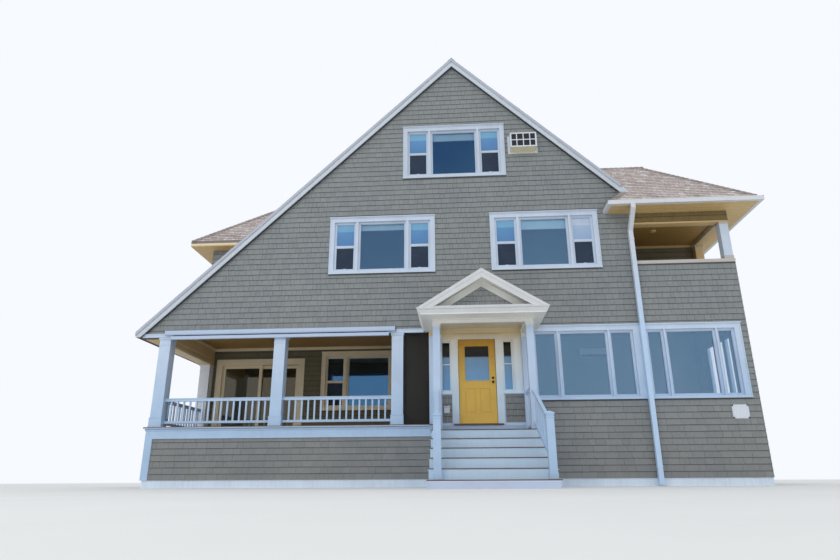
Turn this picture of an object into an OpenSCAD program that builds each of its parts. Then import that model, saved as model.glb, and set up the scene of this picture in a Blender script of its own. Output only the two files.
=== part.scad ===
// Shingled beach house with a wide street gable, a corner porch, a sunroom, a corner balcony
// under a hipped wing roof, a hipped dormer and an entry portico with a flight of steps.
// X runs along the front, Y runs from the front to the rear, Z is up.
// Widths are measured from the ridge line and depths from the front wall face.

/* [House] */
// Width between the outer faces of the left and right walls
house_w = 14770; // [13400:10:16400]
// Shift of the ridge line to the right of the middle of the walls
ridge_shift = 335; // [250:5:450]
// Depth from the front wall face to the rear wall face
house_depth = 11000; // [9700:100:12400]
// Thickness of the outer walls
wall_t = 180; // [160:5:205]
// Thickness of the inner walls
inner_wall_t = 120; // [90:10:150]
// Height of the painted base band
base_h = 180; // [120:10:240]
// Width of the base wall on the ground
base_w = 260; // [220:10:320]

/* [Floors] */
// Top of the first-floor boards above the ground
first_floor = 1430; // [1270:10:1600]
// Second-floor boards above the soffit line of the left eave
second_rise = 700; // [620:10:780]
// Second-floor boards to attic-floor boards
attic_rise = 2750; // [2500:10:3000]
// Depth of each floor with its joists
floor_t = 220; // [190:10:250]

/* [Main roof] */
// Pitch of all the house roofs in degrees
roof_pitch = 44; // [40:0.5:47]
// Thickness of the roof measured square to its slope
roof_t = 170; // [140:5:190]
// Reach of the eaves past the side walls
eave_out = 610; // [500:10:700]
// Height of the upright face along the eaves
eave_face = 126; // [110:2:140]
// Reach of the roof past the gable walls
rake_out = 90; // [70:5:110]
// Depth of the rake boards square to the slope
rake_board_h = 175; // [150:5:200]
// Thickness of the rake boards
rake_board_t = 30; // [20:2:40]
// Depth of the crown strip along the top of the rake boards
rake_crown_h = 65; // [50:5:80]
// Half width of the cap along the ridge, measured level
ridge_cap_w = 150; // [120:10:180]
// Height of the ridge cap over the roof
ridge_cap_t = 30; // [25:1:40]

/* [Wing and dormer] */
// Depth of the hipped roofs from eave edge to eave edge
bay_depth = 4240; // [3900:20:4600]
// Second-floor boards to the hipped roofs' eave edge
bay_eave_h = 2570; // [2400:10:2750]
// Height of the hipped roofs' upright eave face
bay_face = 140; // [120:5:160]
// Reach of the wing roof past its front and rear walls
wing_out = 520; // [460:10:580]
// Reach of the wing roof's front eave to the left of the balcony
wing_return = 600; // [540:10:680]
// Width of the balcony at the right end of the front
balcony_w = 2450; // [2200:10:2700]
// Front wall face to the dormer roof's front eave
dormer_front = 1400; // [1200:20:1600]
// Left wall face to the dormer's side wall face
dormer_in = 380; // [330:10:430]
// Reach of the dormer roof past its front and rear cheeks
dormer_out = 400; // [350:10:450]
// Reach of the dormer roof past its side wall
dormer_side_out = 550; // [490:10:620]
// Thickness of the soffit and ceiling boards
soffit_t = 30; // [24:2:40]

/* [Balcony] */
// Clear depth of the balcony from the front wall face
balcony_depth = 1900; // [1700:20:2100]
// Top of the balcony parapet above the second floor
parapet_h = 1030; // [920:10:1140]
// Thickness of the parapet cap
cap_t = 40; // [30:2:50]
// Reach of the parapet cap past the parapet faces
cap_out = 25; // [15:5:40]
// Width of the balcony posts
balcony_post = 220; // [190:10:250]
// Depth of the beams over the balcony
balcony_beam_h = 300; // [260:10:340]
// Balcony ceiling above the underside of its beams
balcony_ceiling_up = 90; // [70:5:120]

/* [Porch] */
// Depth of the porch from the front wall face to its back wall
porch_depth = 2900; // [2600:50:3200]
// Ridge line to the right end of the porch, along -X
porch_right = 740; // [680:10:780]
// Width of the screened opening at the right end of the porch
screen_w = 650; // [570:10:730]
// Width of the square porch posts
porch_post = 290; // [250:10:330]
// Height of the block at the foot of a post
post_block_h = 220; // [180:10:260]
// Reach of the foot blocks past the post faces
post_block_out = 15; // [10:1:20]
// Porch ceiling above the soffit line
porch_ceiling_up = 300; // [260:10:340]
// Underside of the side beam below the soffit line
side_beam_down = 230; // [200:10:260]
// Height of the white rim board under the deck
rim_h = 240; // [210:10:270]
// Thickness of the rim board and the corner boards
rim_t = 35; // [28:1:45]
// Thickness of the deck boards
deck_t = 40; // [30:2:50]
// Reach of the deck boards past the porch faces
deck_out = 90; // [70:5:110]
// Top of the handrails above the deck
rail_h = 700; // [620:10:900]
// Depth of the top and bottom rails
rail_t = 60; // [50:2:70]
// Width of the top and bottom rails
rail_w = 70; // [60:2:90]
// Gap under the bottom rail
rail_gap = 95; // [80:5:120]
// Width of a square baluster
baluster = 40; // [34:2:46]
// Centre spacing of the balusters
baluster_pitch = 160; // [140:5:180]
// Awning case to the left wall face
awning_in = 160; // [140:10:180]
// Gap between the awning's case and its front bar
awning_gap = 30; // [26:1:34]
// Height of the folded awning's case
awning_h = 160; // [140:5:180]
// Reach of the awning's case in front of the wall
awning_out = 120; // [105:5:135]

/* [Entry] */
// Width of the entry door leaf
door_w = 910; // [820:10:1000]
// Height of the entry door leaf
door_h = 2050; // [1950:10:2150]
// Thickness of the entry door leaf
door_t = 45; // [40:1:50]
// Ridge line to the hinge edge of the entry door, along -X
door_left = 10; // [8:1:12]
// Running gap round the moving leaves
leaf_gap = 8; // [7:1:9]
// Thickness of the door frame round the entry door
door_jamb = 40; // [34:2:46]
// Height of the threshold
threshold_h = 6; // [5:1:7]
// Front wall face to the outer face of the door leaf
door_in = 65; // [58:1:72]
// Entry door frame to the soffit line above it
frieze_h = 158; // [140:2:178]
// Width from a door leaf's gap to the sidelight beside it
door_post = 175; // [155:5:195]
// Width of each sidelight opening
sidelight_w = 250; // [220:10:280]
// First floor to the foot of the sidelights
sidelight_up = 780; // [700:10:860]
// Ridge line to the right end of the entry wall
entry_right = 1780; // [1700:10:1900]

/* [Patio door] */
// Left wall face to the patio door opening
patio_side = 530; // [470:10:590]
// Patio door opening to the glass of the window beside it
patio_gap = 830; // [740:10:920]
// Top of the patio door opening below the soffit line
patio_down = 180; // [160:5:200]
// Thickness of the patio door's frame
patio_jamb = 40; // [36:1:44]
// Height of the patio door's sill
patio_sill = 25; // [22:1:28]
// Width of the stiles and rails of a patio panel
patio_stile = 90; // [80:5:100]
// Thickness of a patio panel
patio_t = 44; // [38:2:48]
// Height and half width of the track
track = 5; // [4:1:6]
// Length of a runner shoe
runner_l = 80; // [70:5:90]
// Height of a runner shoe over the track
runner_gap = 0.3; // [0.2:0.1:0.5]

/* [Windows] */
// Width of the side sashes' glass
side_light = 490; // [440:10:540]
// Width of the centre glass
centre_light = 1200; // [1080:10:1300]
// Width of the mullions between glass and glass
mullion = 155; // [140:5:170]
// Height of the glass in the gable windows
glass_h = 1300; // [1170:10:1430]
// Width of the flat trim at the top and sides, from the glass
trim_w = 170; // [155:5:185]
// Width of the flat trim at the bottom, from the glass
trim_low = 140; // [125:5:155]
// Thickness of the trim on the wall face
trim_t = 30; // [26:1:34]
// Reach of the sill past the trim
sill_nose = 25; // [20:1:30]
// Height of the sill's front edge
sill_h = 45; // [40:1:50]
// Thickness of the frame round the sashes
jamb_t = 25; // [22:1:28]
// Depth of the sashes behind the wall face
sash_in = 30; // [26:1:34]
// Thickness of the sashes
sash_t = 45; // [40:1:50]
// Width of the sash members
sash_w = 45; // [40:1:50]
// Depth of the meeting rail
meeting_rail = 50; // [44:1:56]
// Thickness of the glass
glass_t = 8; // [7:1:9]
// Soffit line down to the top of the first-floor windows' glass
eave_margin = 80; // [72:2:88]
// Shift of the top window to the right of the ridge line
gable_win_shift = 5; // [4:1:6]
// Ridge down to the foot of the top window's glass
gable_win_down = 3680; // [3500:10:3850]
// Second floor to the glass of the windows above it
upper_win_up = 1050; // [950:10:1150]
// Second floor to the glass of the dormer's window
dormer_win_up = 1110; // [1000:10:1220]
// Ridge line to the right end of the left upper window's glass, along -X
upper_left_in = 720; // [640:10:800]
// Ridge line to the left end of the right upper window's glass
upper_right_in = 1080; // [960:10:1200]
// Right end of the porch to the glass of the porch window
porch_win_side = 710; // [640:10:780]
// First floor to the glass of the porch window
porch_win_up = 810; // [730:10:890]
// First floor to the glass of the rear windows
rear_win_up = 870; // [790:10:950]
// First floor to the glass of the sunroom windows
sun_win_up = 650; // [580:10:720]
// Width of the side glass of the sunroom's right window
sun_side = 330; // [300:10:360]
// Width of the sunroom windows' mullions
sun_mullion = 125; // [112:1:138]
// Width of the flat trim at the bottom of the sunroom windows
sun_trim_low = 110; // [98:2:122]
// Width of the flat trim between the sunroom's right window and the corner
sun_trim_right = 200; // [180:5:220]
// Left end of the sunroom wall to the glass
sun_start = 130; // [120:5:145]
// Glass to glass between the two sunroom windows
sun_gap = 410; // [370:10:450]
// Glass of the sunroom's right window to the corner
sun_end = 350; // [310:10:390]
// Width of each light of the window in the sunroom's side wall
side_win_w = 430; // [390:10:470]
// Front wall face to the glass of that window
side_win_y = 720; // [650:10:790]
// Width of the single windows' glass
single_w = 800; // [720:10:880]

/* [Steps] */
// Step down from the first floor to the landing
door_step = 220; // [195:5:245]
// Front wall face to the front edge of the landing
landing_out = 1250; // [1120:10:1400]
// Number of treads between the landing and the platform
step_count = 4; // [3:1:5]
// Depth of each tread
tread_run = 345; // [310:5:385]
// Top of the bottom platform above the ground
platform_z = 165; // [150:5:180]
// Reach of the steps past the portico columns on each side
step_margin = 78; // [70:1:86]
// Shift of the steps to the right of the portico's middle
step_shift = 30; // [25:1:35]
// Thickness of the tread boards
tread_t = 35; // [31:1:39]
// Reach of the treads past the risers
nosing = 25; // [22:1:28]
// Thickness of the risers and side panels
riser_t = 25; // [22:1:28]
// Width of the newel posts
newel = 150; // [130:5:170]
// Height of the newel posts above the platform
newel_h = 1200; // [1080:10:1320]
// Left newel's centre to the right of its column's centre
newel_left_in = 45; // [40:1:50]
// Right newel's centre to the right of its column's centre
newel_right_out = 90; // [80:1:100]
// Top of the stair rails above the landing
stair_rail_h = 860; // [780:10:940]
// Top of the railings beside the landing above its boards
landing_rail_h = 950; // [860:10:1040]

/* [Portico] */
// Ridge line to the centre of the portico
portico_x = 565; // [510:5:620]
// Centre spacing of the portico columns
column_pitch = 2150; // [1950:10:2350]
// Width of the square portico columns
column = 165; // [145:5:185]
// Underside of the portico beam below the soffit line
portico_beam_down = 90; // [80:1:100]
// Height of the portico beam
portico_beam_h = 200; // [180:10:220]
// Height of the column caps
cap_h = 60; // [52:2:68]
// Reach of the column caps past the columns
cap_lip = 15; // [13:1:17]
// Reach of the portico roof in front of the columns
portico_eave = 450; // [400:10:500]
// Reach of the portico roof past the columns on each side
portico_side = 342; // [310:2:380]
// Height of the portico's eave edge over the beam
eave_lift = 50; // [45:1:55]
// Height of the portico's cornice
cornice_h = 150; // [135:5:165]
// Slope of the cornice's foot back from the eave edge
cornice_in = 90; // [80:5:100]
// Rise of the portico roof from eave to ridge
portico_rise = 920; // [830:10:1010]
// Thickness of the portico roof square to its slope
portico_roof_t = 110; // [98:2:122]
// Thickness of the shingled panel in the portico's gable
panel_t = 60; // [54:2:66]

/* [Fittings] */
// Width of the room cooler's sleeve
cooler_w = 800; // [720:10:880]
// Height of the room cooler's sleeve
cooler_h = 530; // [480:10:580]
// Reach of the room cooler in front of the wall
cooler_out = 300; // [270:10:330]
// Reach of the room cooler inside the wall
cooler_back = 200; // [180:10:220]
// Width of the room cooler's sleeve frame
cooler_rim = 45; // [40:1:50]
// Width and depth of the downspout
spout_w = 110; // [98:2:122]
// Depth of the gutter
gutter_h = 110; // [98:2:122]
// Width of the gutter
gutter_w = 100; // [90:2:110]
// Thickness of the gutter's metal
gutter_t = 6; // [5:1:7]
// Top of the gutter below the eave edge
gutter_drop = 50; // [45:1:55]
// Width of the number plaque
plaque_w = 380; // [340:10:420]
// Height of the number plaque
plaque_h = 320; // [290:10:350]
// Width of the letter box
letter_w = 140; // [125:5:155]
// Height of the letter box
letter_h = 160; // [144:2:176]

/* [Hidden] */
$fn = 32;

// Gap left where a sloped face or a floor edge meets its neighbour
seat = 0.3;

shingle_grey = "#8d9291";
trim_white = "#e6ebf2";
wood_tan = "#a98a5e";
plaster = "#d9d5cb";
roof_brown = "#8d8078";
deck_brown = "#7a5240";
glass_blue = "#5c7d9c";
door_yellow = "#e0ab3c";
dark_mesh = "#2c2a28";
iron_black = "#1d1c1c";

// Roof slopes
slope = tan(roof_pitch);
roof_v = roof_t / cos(roof_pitch);
far = 20000;

// Plan
left_run = house_w / 2 + ridge_shift;
right_run = house_w / 2 - ridge_shift;
left_eave_run = left_run + eave_out;
right_eave_run = right_run + eave_out;
inner_rear = house_depth - wall_t;
balcony_left = right_run - balcony_w;
wing_eave_left = balcony_left - wing_return;
wing_rear = bay_depth - wing_out;
wing_depth = wing_rear - wing_out;
dormer_run = left_run - dormer_in;
dormer_eave = dormer_run + dormer_side_out;
dormer_y0 = dormer_front + dormer_out;
dormer_y1 = dormer_front + bay_depth - dormer_out;

// Heights
deck_low = first_floor - deck_t;
rim_low = deck_low - rim_h;
floor_low = first_floor - floor_t;
door_z = first_floor + threshold_h + leaf_gap;
door_top = door_z + door_h + leaf_gap;
head_z = door_top + door_jamb;
porch_head = head_z + frieze_h;
porch_ceiling_z = porch_head + porch_ceiling_up;
side_beam_z = porch_head - side_beam_down;
second_floor = porch_head + second_rise;
second_low = second_floor - floor_t;
attic_floor = second_floor + attic_rise;
ridge_z = round(porch_head + eave_face + left_eave_run * slope);
bay_eave_z = second_floor + bay_eave_h;
bay_low = bay_eave_z - bay_face;
bay_wall_top = bay_low - soffit_t;
parapet_z = second_floor + parapet_h;
beam_z = bay_wall_top - balcony_beam_h;

// Height of the main roof's top and underside over a distance x from the ridge line
function top_z(x) = ridge_z - abs(x) * slope;
function under_z(x) = top_z(x) - roof_v;
// Distance from the ridge line where the main roof's top and underside are at height z
function x_top(z) = (ridge_z - z) / slope;
function x_under(z) = (ridge_z - roof_v - z) / slope;

right_head = round(top_z(right_eave_run) - eave_face);

// Steps
landing_z = first_floor - door_step;
rise = (landing_z - platform_z) / (step_count + 1);
step_lip = max(nosing, riser_t);
platform_out = landing_out + (step_count + 1) * tread_run;
steps_half = column_pitch / 2 + column / 2 + step_margin;
steps_x0 = portico_x + step_shift - steps_half;
steps_x1 = portico_x + step_shift + steps_half;

// Footprint
x_right = right_eave_run + gutter_w;
y_front = platform_out + step_lip;
y_rear = house_depth + rake_out + rake_board_t;
x_mid = (x_right - left_eave_run) / 2;
y_mid = (y_rear - y_front) / 2;

// Places the house so that the origin is the middle of its footprint on the ground
module placed() {
  translate([-x_mid, -y_mid, 0]) children();
}

// A box from its low and high corner coordinates
module span(x0, x1, y0, y1, z0, z1) {
  translate([x0, y0, z0]) cube([x1 - x0, y1 - y0, z1 - z0]);
}

// Extrudes an outline drawn in X and Z from depth y0 to depth y1
module in_xz(y0, y1) {
  translate([0, y1, 0]) rotate([90, 0, 0]) linear_extrude(y1 - y0) children();
}

// Extrudes an outline drawn in Y and Z from x0 to x1
module in_yz(x0, x1) {
  translate([x0, 0, 0]) rotate([90, 0, 90]) linear_extrude(x1 - x0) children();
}

module rect(x, z, w, h) {
  translate([x, z]) square([w, h]);
}

// Windows. A unit lists where its glass starts, its glass widths and height, the depth of
// its wall's face, its trim widths, whether its side lights are double hung, and its mullion.
// A side width of 0 makes one double-hung window.
function unit_of(x, z, side, centre, h, y = 0, left = trim_w, right = trim_w, low = trim_low,
    hung = true, post = mullion) = [x, z, side, centre, h, y, left, right, low, hung, post];

function unit_w(u) = u[2] > 0 ? u[3] + 2 * u[2] + 2 * u[10] : u[3];

frame_w = sash_w + jamb_t;

module unit_grown(u, by) {
  rect(u[0] - by, u[1] - by, unit_w(u) + 2 * by, u[4] + 2 * by);
}

module unit_outer(u) {
  rect(u[0] - u[6], u[1] - u[8], unit_w(u) + u[6] + u[7], u[4] + u[8] + trim_w);
}

// The lights of one sash pair, w wide from x
module sash_lights(u, x, w) {
  if (u[9])
    for (z = [u[1], u[1] + (u[4] + meeting_rail) / 2])
      rect(x, z, w, (u[4] - meeting_rail) / 2);
  else
    rect(x, u[1], w, u[4]);
}

module unit_lights(u) {
  if (u[2] > 0) {
    rect(u[0] + u[2] + u[10], u[1], u[3], u[4]);
    for (x = [u[0], u[0] + u[2] + u[3] + 2 * u[10]]) sash_lights(u, x, u[2]);
  } else {
    sash_lights(u, u[0], u[3]);
  }
}

// The mullions' front boards
module unit_posts(u) {
  if (u[2] > 0)
    for (x = [u[0] + u[2] + sash_w, u[0] + u[2] + u[10] + u[3] + sash_w])
      rect(x, u[1] - sash_w, u[10] - 2 * sash_w, u[4] + 2 * sash_w);
}

// One window unit facing the front: trim, sill, frame, mullions and sashes
module window_unit(u) {
  y = u[5];
  in_xz(y - trim_t, y) difference() {
    unit_outer(u);
    unit_grown(u, frame_w);
  }
  in_xz(y - trim_t, y + sash_in + sash_t) {
    difference() {
      unit_grown(u, frame_w);
      unit_grown(u, sash_w);
    }
    unit_posts(u);
  }
  in_xz(y + sash_in, y + sash_in + sash_t) difference() {
    unit_grown(u, sash_w);
    unit_lights(u);
  }
  z = u[1] - u[8];
  in_yz(u[0] - u[6], u[0] + unit_w(u) + u[7]) polygon([
    [y - trim_t - sill_nose, z], [y - trim_t, z], [y - trim_t, z + sill_h],
    [y - trim_t - sill_nose, z + sill_h * 2 / 3]]);
}

// The sheet of glass behind one unit's sashes
module window_sheet(u) {
  in_xz(u[5] + sash_in + sash_t, u[5] + sash_in + sash_t + glass_t) unit_grown(u, sash_w);
}

module window_hole(u) {
  in_xz(u[5] - 1, u[5] + wall_t + 1) unit_grown(u, frame_w);
}

// Turns what faces the front so that it faces the rear, left or right
module face_rear() {
  translate([0, house_depth, 0]) rotate([0, 0, 180]) children();
}
module face_left(run) {
  translate([-run, 0, 0]) rotate([0, 0, -90]) children();
}
module face_right() {
  translate([right_run, 0, 0]) rotate([0, 0, 90]) children();
}

triple_w = centre_light + 2 * side_light + 2 * mullion;
gable_win_x = -triple_w / 2 + gable_win_shift;
gable_win_z = ridge_z - gable_win_down;
upper_win_z = second_floor + upper_win_up;
porch_win_x = -porch_right - porch_win_side - triple_w;
porch_win_z = first_floor + porch_win_up;
trim_gap = 10;
sun_win_z = first_floor + sun_win_up;
sun_win_h = porch_head - eave_margin - sun_win_z;
sun_centre = (right_run - entry_right - sun_start - sun_gap - sun_end
  - 2 * side_light - 2 * sun_side - 4 * sun_mullion) / 2;
sun_left_x = entry_right + sun_start;
sun_right_x = right_run - sun_end - sun_centre - 2 * sun_side - 2 * sun_mullion;
spout_x = sun_right_x - sun_gap / 2;
left_win_h = porch_head - 2 * eave_margin - trim_w - sun_win_z;
low_win_z = first_floor + rear_win_up;
third_row = [0.42, 0.7];
dormer_win_y = dormer_front + (bay_depth - single_w) / 2;
dormer_win_z = second_floor + dormer_win_up;
dormer_win_h = bay_wall_top - trim_w - eave_margin - dormer_win_z;

sun_left = unit_of(sun_left_x, sun_win_z, side_light, sun_centre, sun_win_h,
  left = sun_start - trim_gap, right = sun_gap / 2, low = sun_trim_low, hung = false,
  post = sun_mullion);
front_list = [
  unit_of(gable_win_x, gable_win_z, side_light, centre_light, glass_h),
  unit_of(-upper_left_in - triple_w, upper_win_z, side_light, centre_light, glass_h),
  unit_of(upper_right_in, upper_win_z, side_light, centre_light, glass_h),
  sun_left,
  unit_of(sun_right_x, sun_win_z, sun_side, sun_centre, sun_win_h, left = sun_gap / 2,
    right = sun_trim_right, low = sun_trim_low, hung = false, post = sun_mullion),
  unit_of(porch_win_x, porch_win_z, side_light, centre_light,
    porch_head - eave_margin / 2 - porch_win_z, y = porch_depth)];
rear_list = [
  unit_of(gable_win_x, gable_win_z, side_light, centre_light, glass_h),
  unit_of(upper_left_in, upper_win_z, side_light, centre_light, glass_h),
  unit_of(-upper_right_in - triple_w, upper_win_z, side_light, centre_light, glass_h),
  unit_of(upper_left_in, low_win_z, side_light, centre_light, glass_h),
  unit_of(-upper_right_in - triple_w, low_win_z, side_light, centre_light, glass_h)];
right_list = concat(
  [unit_of(side_win_y, sun_win_z, side_win_w, side_win_w, sun_win_h, left = sun_start,
    right = sun_start, low = sun_trim_low, hung = false, post = mullion)],
  [for (f = third_row) unit_of(f * house_depth, sun_win_z, 0, single_w, sun_win_h)]);
left_list = [for (f = third_row)
  unit_of(-f * house_depth - single_w, sun_win_z, 0, single_w, left_win_h)];
dormer_list = [
  unit_of(-dormer_win_y - single_w, dormer_win_z, 0, single_w, dormer_win_h)];

module front_windows() {
  color(trim_white) placed() for (u = front_list) window_unit(u);
}

module rear_windows() {
  color(trim_white) placed() face_rear() for (u = rear_list) window_unit(u);
}

module side_windows() {
  color(trim_white) placed() {
    face_right() for (u = right_list) window_unit(u);
    face_left(left_run) for (u = left_list) window_unit(u);
    face_left(dormer_run) for (u = dormer_list) window_unit(u);
  }
}

glass_in = sash_in + sash_t;

// Window glass, sidelight glass and the fixed glass of the patio door
module window_glass() {
  y = patio_y + (patio_t - glass_t) / 2;
  color(glass_blue) placed() {
    for (u = front_list) window_sheet(u);
    face_rear() for (u = rear_list) window_sheet(u);
    face_right() for (u = right_list) window_sheet(u);
    face_left(left_run) for (u = left_list) window_sheet(u);
    face_left(dormer_run) for (u = dormer_list) window_sheet(u);
    for (x = sidelights)
      span(x, x + sidelight_w, glass_in, glass_in + glass_t, sidelight_z, sidelight_top);
    span(patio_x0 + patio_jamb + patio_stile, patio_mid - patio_stile / 2, y, y + glass_t,
      patio_z0 + patio_sill + patio_stile, patio_z1 - patio_jamb - patio_stile);
  }
}

// Base, floors and walls

module foundation() {
  color(trim_white) placed() difference() {
    span(-left_run, right_run, 0, house_depth, 0, base_h);
    span(-left_run + base_w, right_run - base_w, base_w, house_depth - base_w, -1,
      base_h + 1);
  }
}

// Shingled skirt under the porch and the entry, turning the left corner
module front_skirt() {
  color(shingle_grey) placed() {
    span(-left_run, entry_right, 0, wall_t, base_h, deck_low);
    span(-left_run, -left_run + wall_t, 0, porch_depth, base_h, deck_low);
  }
}

// Rim board under the deck, with a corner board on the skirt
module porch_rim() {
  x0 = -left_run - rim_t;
  color(trim_white) placed() {
    span(x0, steps_x0 - nosing, -rim_t, 0, rim_low, deck_low);
    span(x0, -left_run, -rim_t, porch_depth, rim_low, deck_low);
    span(x0, -left_run + porch_post / 2, -rim_t, 0, base_h, rim_low);
    span(x0, -left_run, -rim_t, porch_post / 2, base_h, rim_low);
  }
}

module porch_deck() {
  x0 = -left_run - deck_out;
  color(deck_brown) placed() {
    span(x0, -porch_right, -deck_out, porch_depth, deck_low, first_floor);
    span(x0, -porch_right + wall_t, 0, porch_depth, deck_low, first_floor);
  }
}

// Ground floor round the porch, second floor and attic floor
module floors() {
  inner_right = right_run - wall_t - seat;
  color(wood_tan) placed() {
    span(-left_run + wall_t, inner_right, porch_depth + wall_t, inner_rear, floor_low,
      first_floor);
    span(-porch_right + wall_t, inner_right, wall_t, porch_depth + wall_t, floor_low,
      first_floor);
    span(-min(x_under(second_floor), left_run - wall_t), inner_right, wall_t, inner_rear,
      second_low, second_floor);
    span(-x_under(attic_floor), min(x_under(attic_floor), balcony_left - wall_t), wall_t,
      inner_rear, attic_floor - floor_t, attic_floor);
  }
}

cooler_side = 90;
cooler_x = gable_win_x + triple_w + trim_w + cooler_side;
cooler_z = gable_win_z + (glass_h - cooler_h) * 2 / 3;

module front_gable_wall() {
  color(shingle_grey) placed() difference() {
    in_xz(0, wall_t) polygon([
      [-x_under(porch_head), porch_head], [0, ridge_z - roof_v],
      [balcony_left, under_z(balcony_left)], [balcony_left, porch_head]]);
    for (u = front_list) window_hole(u);
    span(cooler_x, cooler_x + cooler_w, -1, wall_t + 1, cooler_z, cooler_z + cooler_h);
  }
}

// Wall of the sunroom, rising on the right to the balcony parapet
module sunroom_wall() {
  color(shingle_grey) placed() difference() {
    in_xz(0, wall_t) polygon([
      [entry_right, base_h], [right_run, base_h], [right_run, parapet_z],
      [balcony_left, parapet_z], [balcony_left, porch_head], [entry_right, porch_head]]);
    for (u = front_list) window_hole(u);
  }
}

door_x = -door_left;
door_x0 = door_x - leaf_gap;
door_x1 = door_x + door_w + leaf_gap;
sidelights = [door_x0 - door_post - sidelight_w, door_x1 + door_post];
sidelight_z = first_floor + sidelight_up;
sidelight_top = head_z - eave_margin;

module sidelight_holes() {
  for (x = sidelights)
    span(x, x + sidelight_w, -1, wall_t + 1, sidelight_z, sidelight_top);
}

// Slabs beside and over the entry door, with a sidelight in each
module entry_wall() {
  color(trim_white) placed() {
    difference() {
      union() {
        span(-porch_right, door_x0 - door_jamb, 0, wall_t, first_floor, head_z);
        span(door_x1 + door_jamb, entry_right, 0, wall_t, first_floor, head_z);
      }
      sidelight_holes();
    }
    span(-porch_right, entry_right, 0, wall_t, head_z, porch_head);
    span(-porch_right + wall_t, entry_right, 0, wall_t, deck_low, first_floor);
  }
}

patio_x0 = -left_run + patio_side;
patio_x1 = porch_win_x - patio_gap;
patio_mid = (patio_x0 + patio_x1) / 2;
patio_z0 = first_floor;
patio_z1 = porch_head - patio_down;

// The porch's back wall, split beside and over the patio door
module porch_back_wall() {
  y0 = porch_depth;
  y1 = porch_depth + wall_t;
  color(shingle_grey) placed() difference() {
    union() {
      span(-left_run, patio_x0, y0, y1, base_h, patio_z1);
      span(-left_run, patio_x1, y0, y1, base_h, patio_z0);
      span(patio_x1, -porch_right + wall_t, y0, y1, base_h, patio_z1);
      span(-left_run + wall_t, -porch_right + wall_t, y0, y1, patio_z1, second_low);
    }
    for (u = front_list) window_hole(u);
  }
}

// The wall between porch and hall, and the wall behind the sunroom
module inner_walls() {
  color(plaster) placed() {
    span(-porch_right, -porch_right + wall_t, wall_t, porch_depth, first_floor, second_low);
    span(entry_right, right_run - wall_t, porch_depth, porch_depth + inner_wall_t,
      first_floor, second_low);
  }
}

module left_wall() {
  color(shingle_grey) placed() difference() {
    in_xz(porch_depth + wall_t, inner_rear) polygon([
      [-left_run, base_h], [-left_run + wall_t, base_h],
      [-left_run + wall_t, under_z(left_run - wall_t) - seat],
      [-left_run, under_z(left_run) - seat]]);
    face_left(left_run) for (u = left_list) window_hole(u);
  }
}

// Right wall, rising to the balcony parapet in front and to the wing roof behind it
module right_wall() {
  color(shingle_grey) placed() difference() {
    in_yz(right_run - wall_t, right_run) polygon([
      [wall_t, base_h], [inner_rear, base_h], [inner_rear, right_head],
      [wing_depth, right_head], [wing_depth, bay_wall_top], [balcony_depth, bay_wall_top],
      [balcony_depth, parapet_z], [wall_t, parapet_z]]);
    face_right() for (u = right_list) window_hole(u);
  }
}

module rear_wall() {
  color(shingle_grey) placed() difference() {
    in_xz(inner_rear, house_depth) polygon([
      [-left_run, base_h], [right_run, base_h], [right_run, right_head],
      [x_under(right_head), right_head], [0, ridge_z - roof_v],
      [-x_under(porch_head), porch_head], [-left_run, porch_head]]);
    face_rear() for (u = rear_list) window_hole(u);
  }
}

// Main roof

// Section of one slope, side is -1 on the left and 1 on the right
module slope_outline(side, run, low) {
  polygon([
    [0, ridge_z], [side * run, top_z(run)], [side * run, low],
    [side * x_under(low), low], [0, ridge_z - roof_v]]);
}

// The space under the main roof's underside
module under_main() {
  in_xz(0, far) polygon([
    [-far, under_z(far)], [0, ridge_z - roof_v], [far, under_z(far)]]);
}

// Solid under a hipped roof with its side eave at xe and its front eave at y0.
// lower moves its planes down, and foot is the height of its flat bottom.
module hip_solid(xe, y0, foot, lower) {
  ze = bay_eave_z - lower;
  yc = y0 + bay_depth / 2;
  intersection() {
    in_yz(0, xe) polygon([
      [y0, foot], [y0, ze], [yc, ze + bay_depth / 2 * slope], [y0 + bay_depth, ze],
      [y0 + bay_depth, foot]]);
    in_xz(y0, y0 + bay_depth) polygon([
      [0, foot], [xe, foot], [xe, ze], [xe - bay_depth, ze + bay_depth * slope],
      [0, ze + bay_depth * slope]]);
  }
}

// The wing roof in front of the front wall ends on its left in a small return hip
module wing_front(foot, lower) {
  ze = bay_eave_z - lower;
  intersection() {
    hip_solid(right_eave_run, -wing_out, foot, lower);
    in_xz(-wing_out, 0) polygon([
      [wing_eave_left, foot], [wing_eave_left, ze],
      [wing_eave_left + bay_depth, ze + bay_depth * slope],
      [far, ze + bay_depth * slope], [far, foot]]);
  }
}

module dormer_hip(foot, lower) {
  mirror([1, 0, 0]) hip_solid(dormer_eave, dormer_front, foot, lower);
}

// Hipped roofs of the wing and of the dormer, meeting the main roof in valleys
module hip_roofs() {
  color(roof_brown) placed() {
    difference() {
      wing_front(bay_low, 0);
      wing_front(0, roof_v);
    }
    difference() {
      hip_solid(right_eave_run, -wing_out, bay_low, 0);
      hip_solid(right_eave_run, -wing_out, 0, roof_v);
      under_main();
      span(0, far, -far, 0, 0, far);
    }
    difference() {
      dormer_hip(bay_low, 0);
      dormer_hip(0, roof_v);
      under_main();
    }
  }
}

module main_roof_left() {
  color(roof_brown) placed() difference() {
    in_xz(-rake_out, house_depth + rake_out)
      slope_outline(-1, left_eave_run, porch_head);
    dormer_hip(bay_low, 0);
    span(-dormer_run, -x_under(bay_wall_top), dormer_y0, dormer_y1, 0, bay_low + 1);
  }
}

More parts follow.
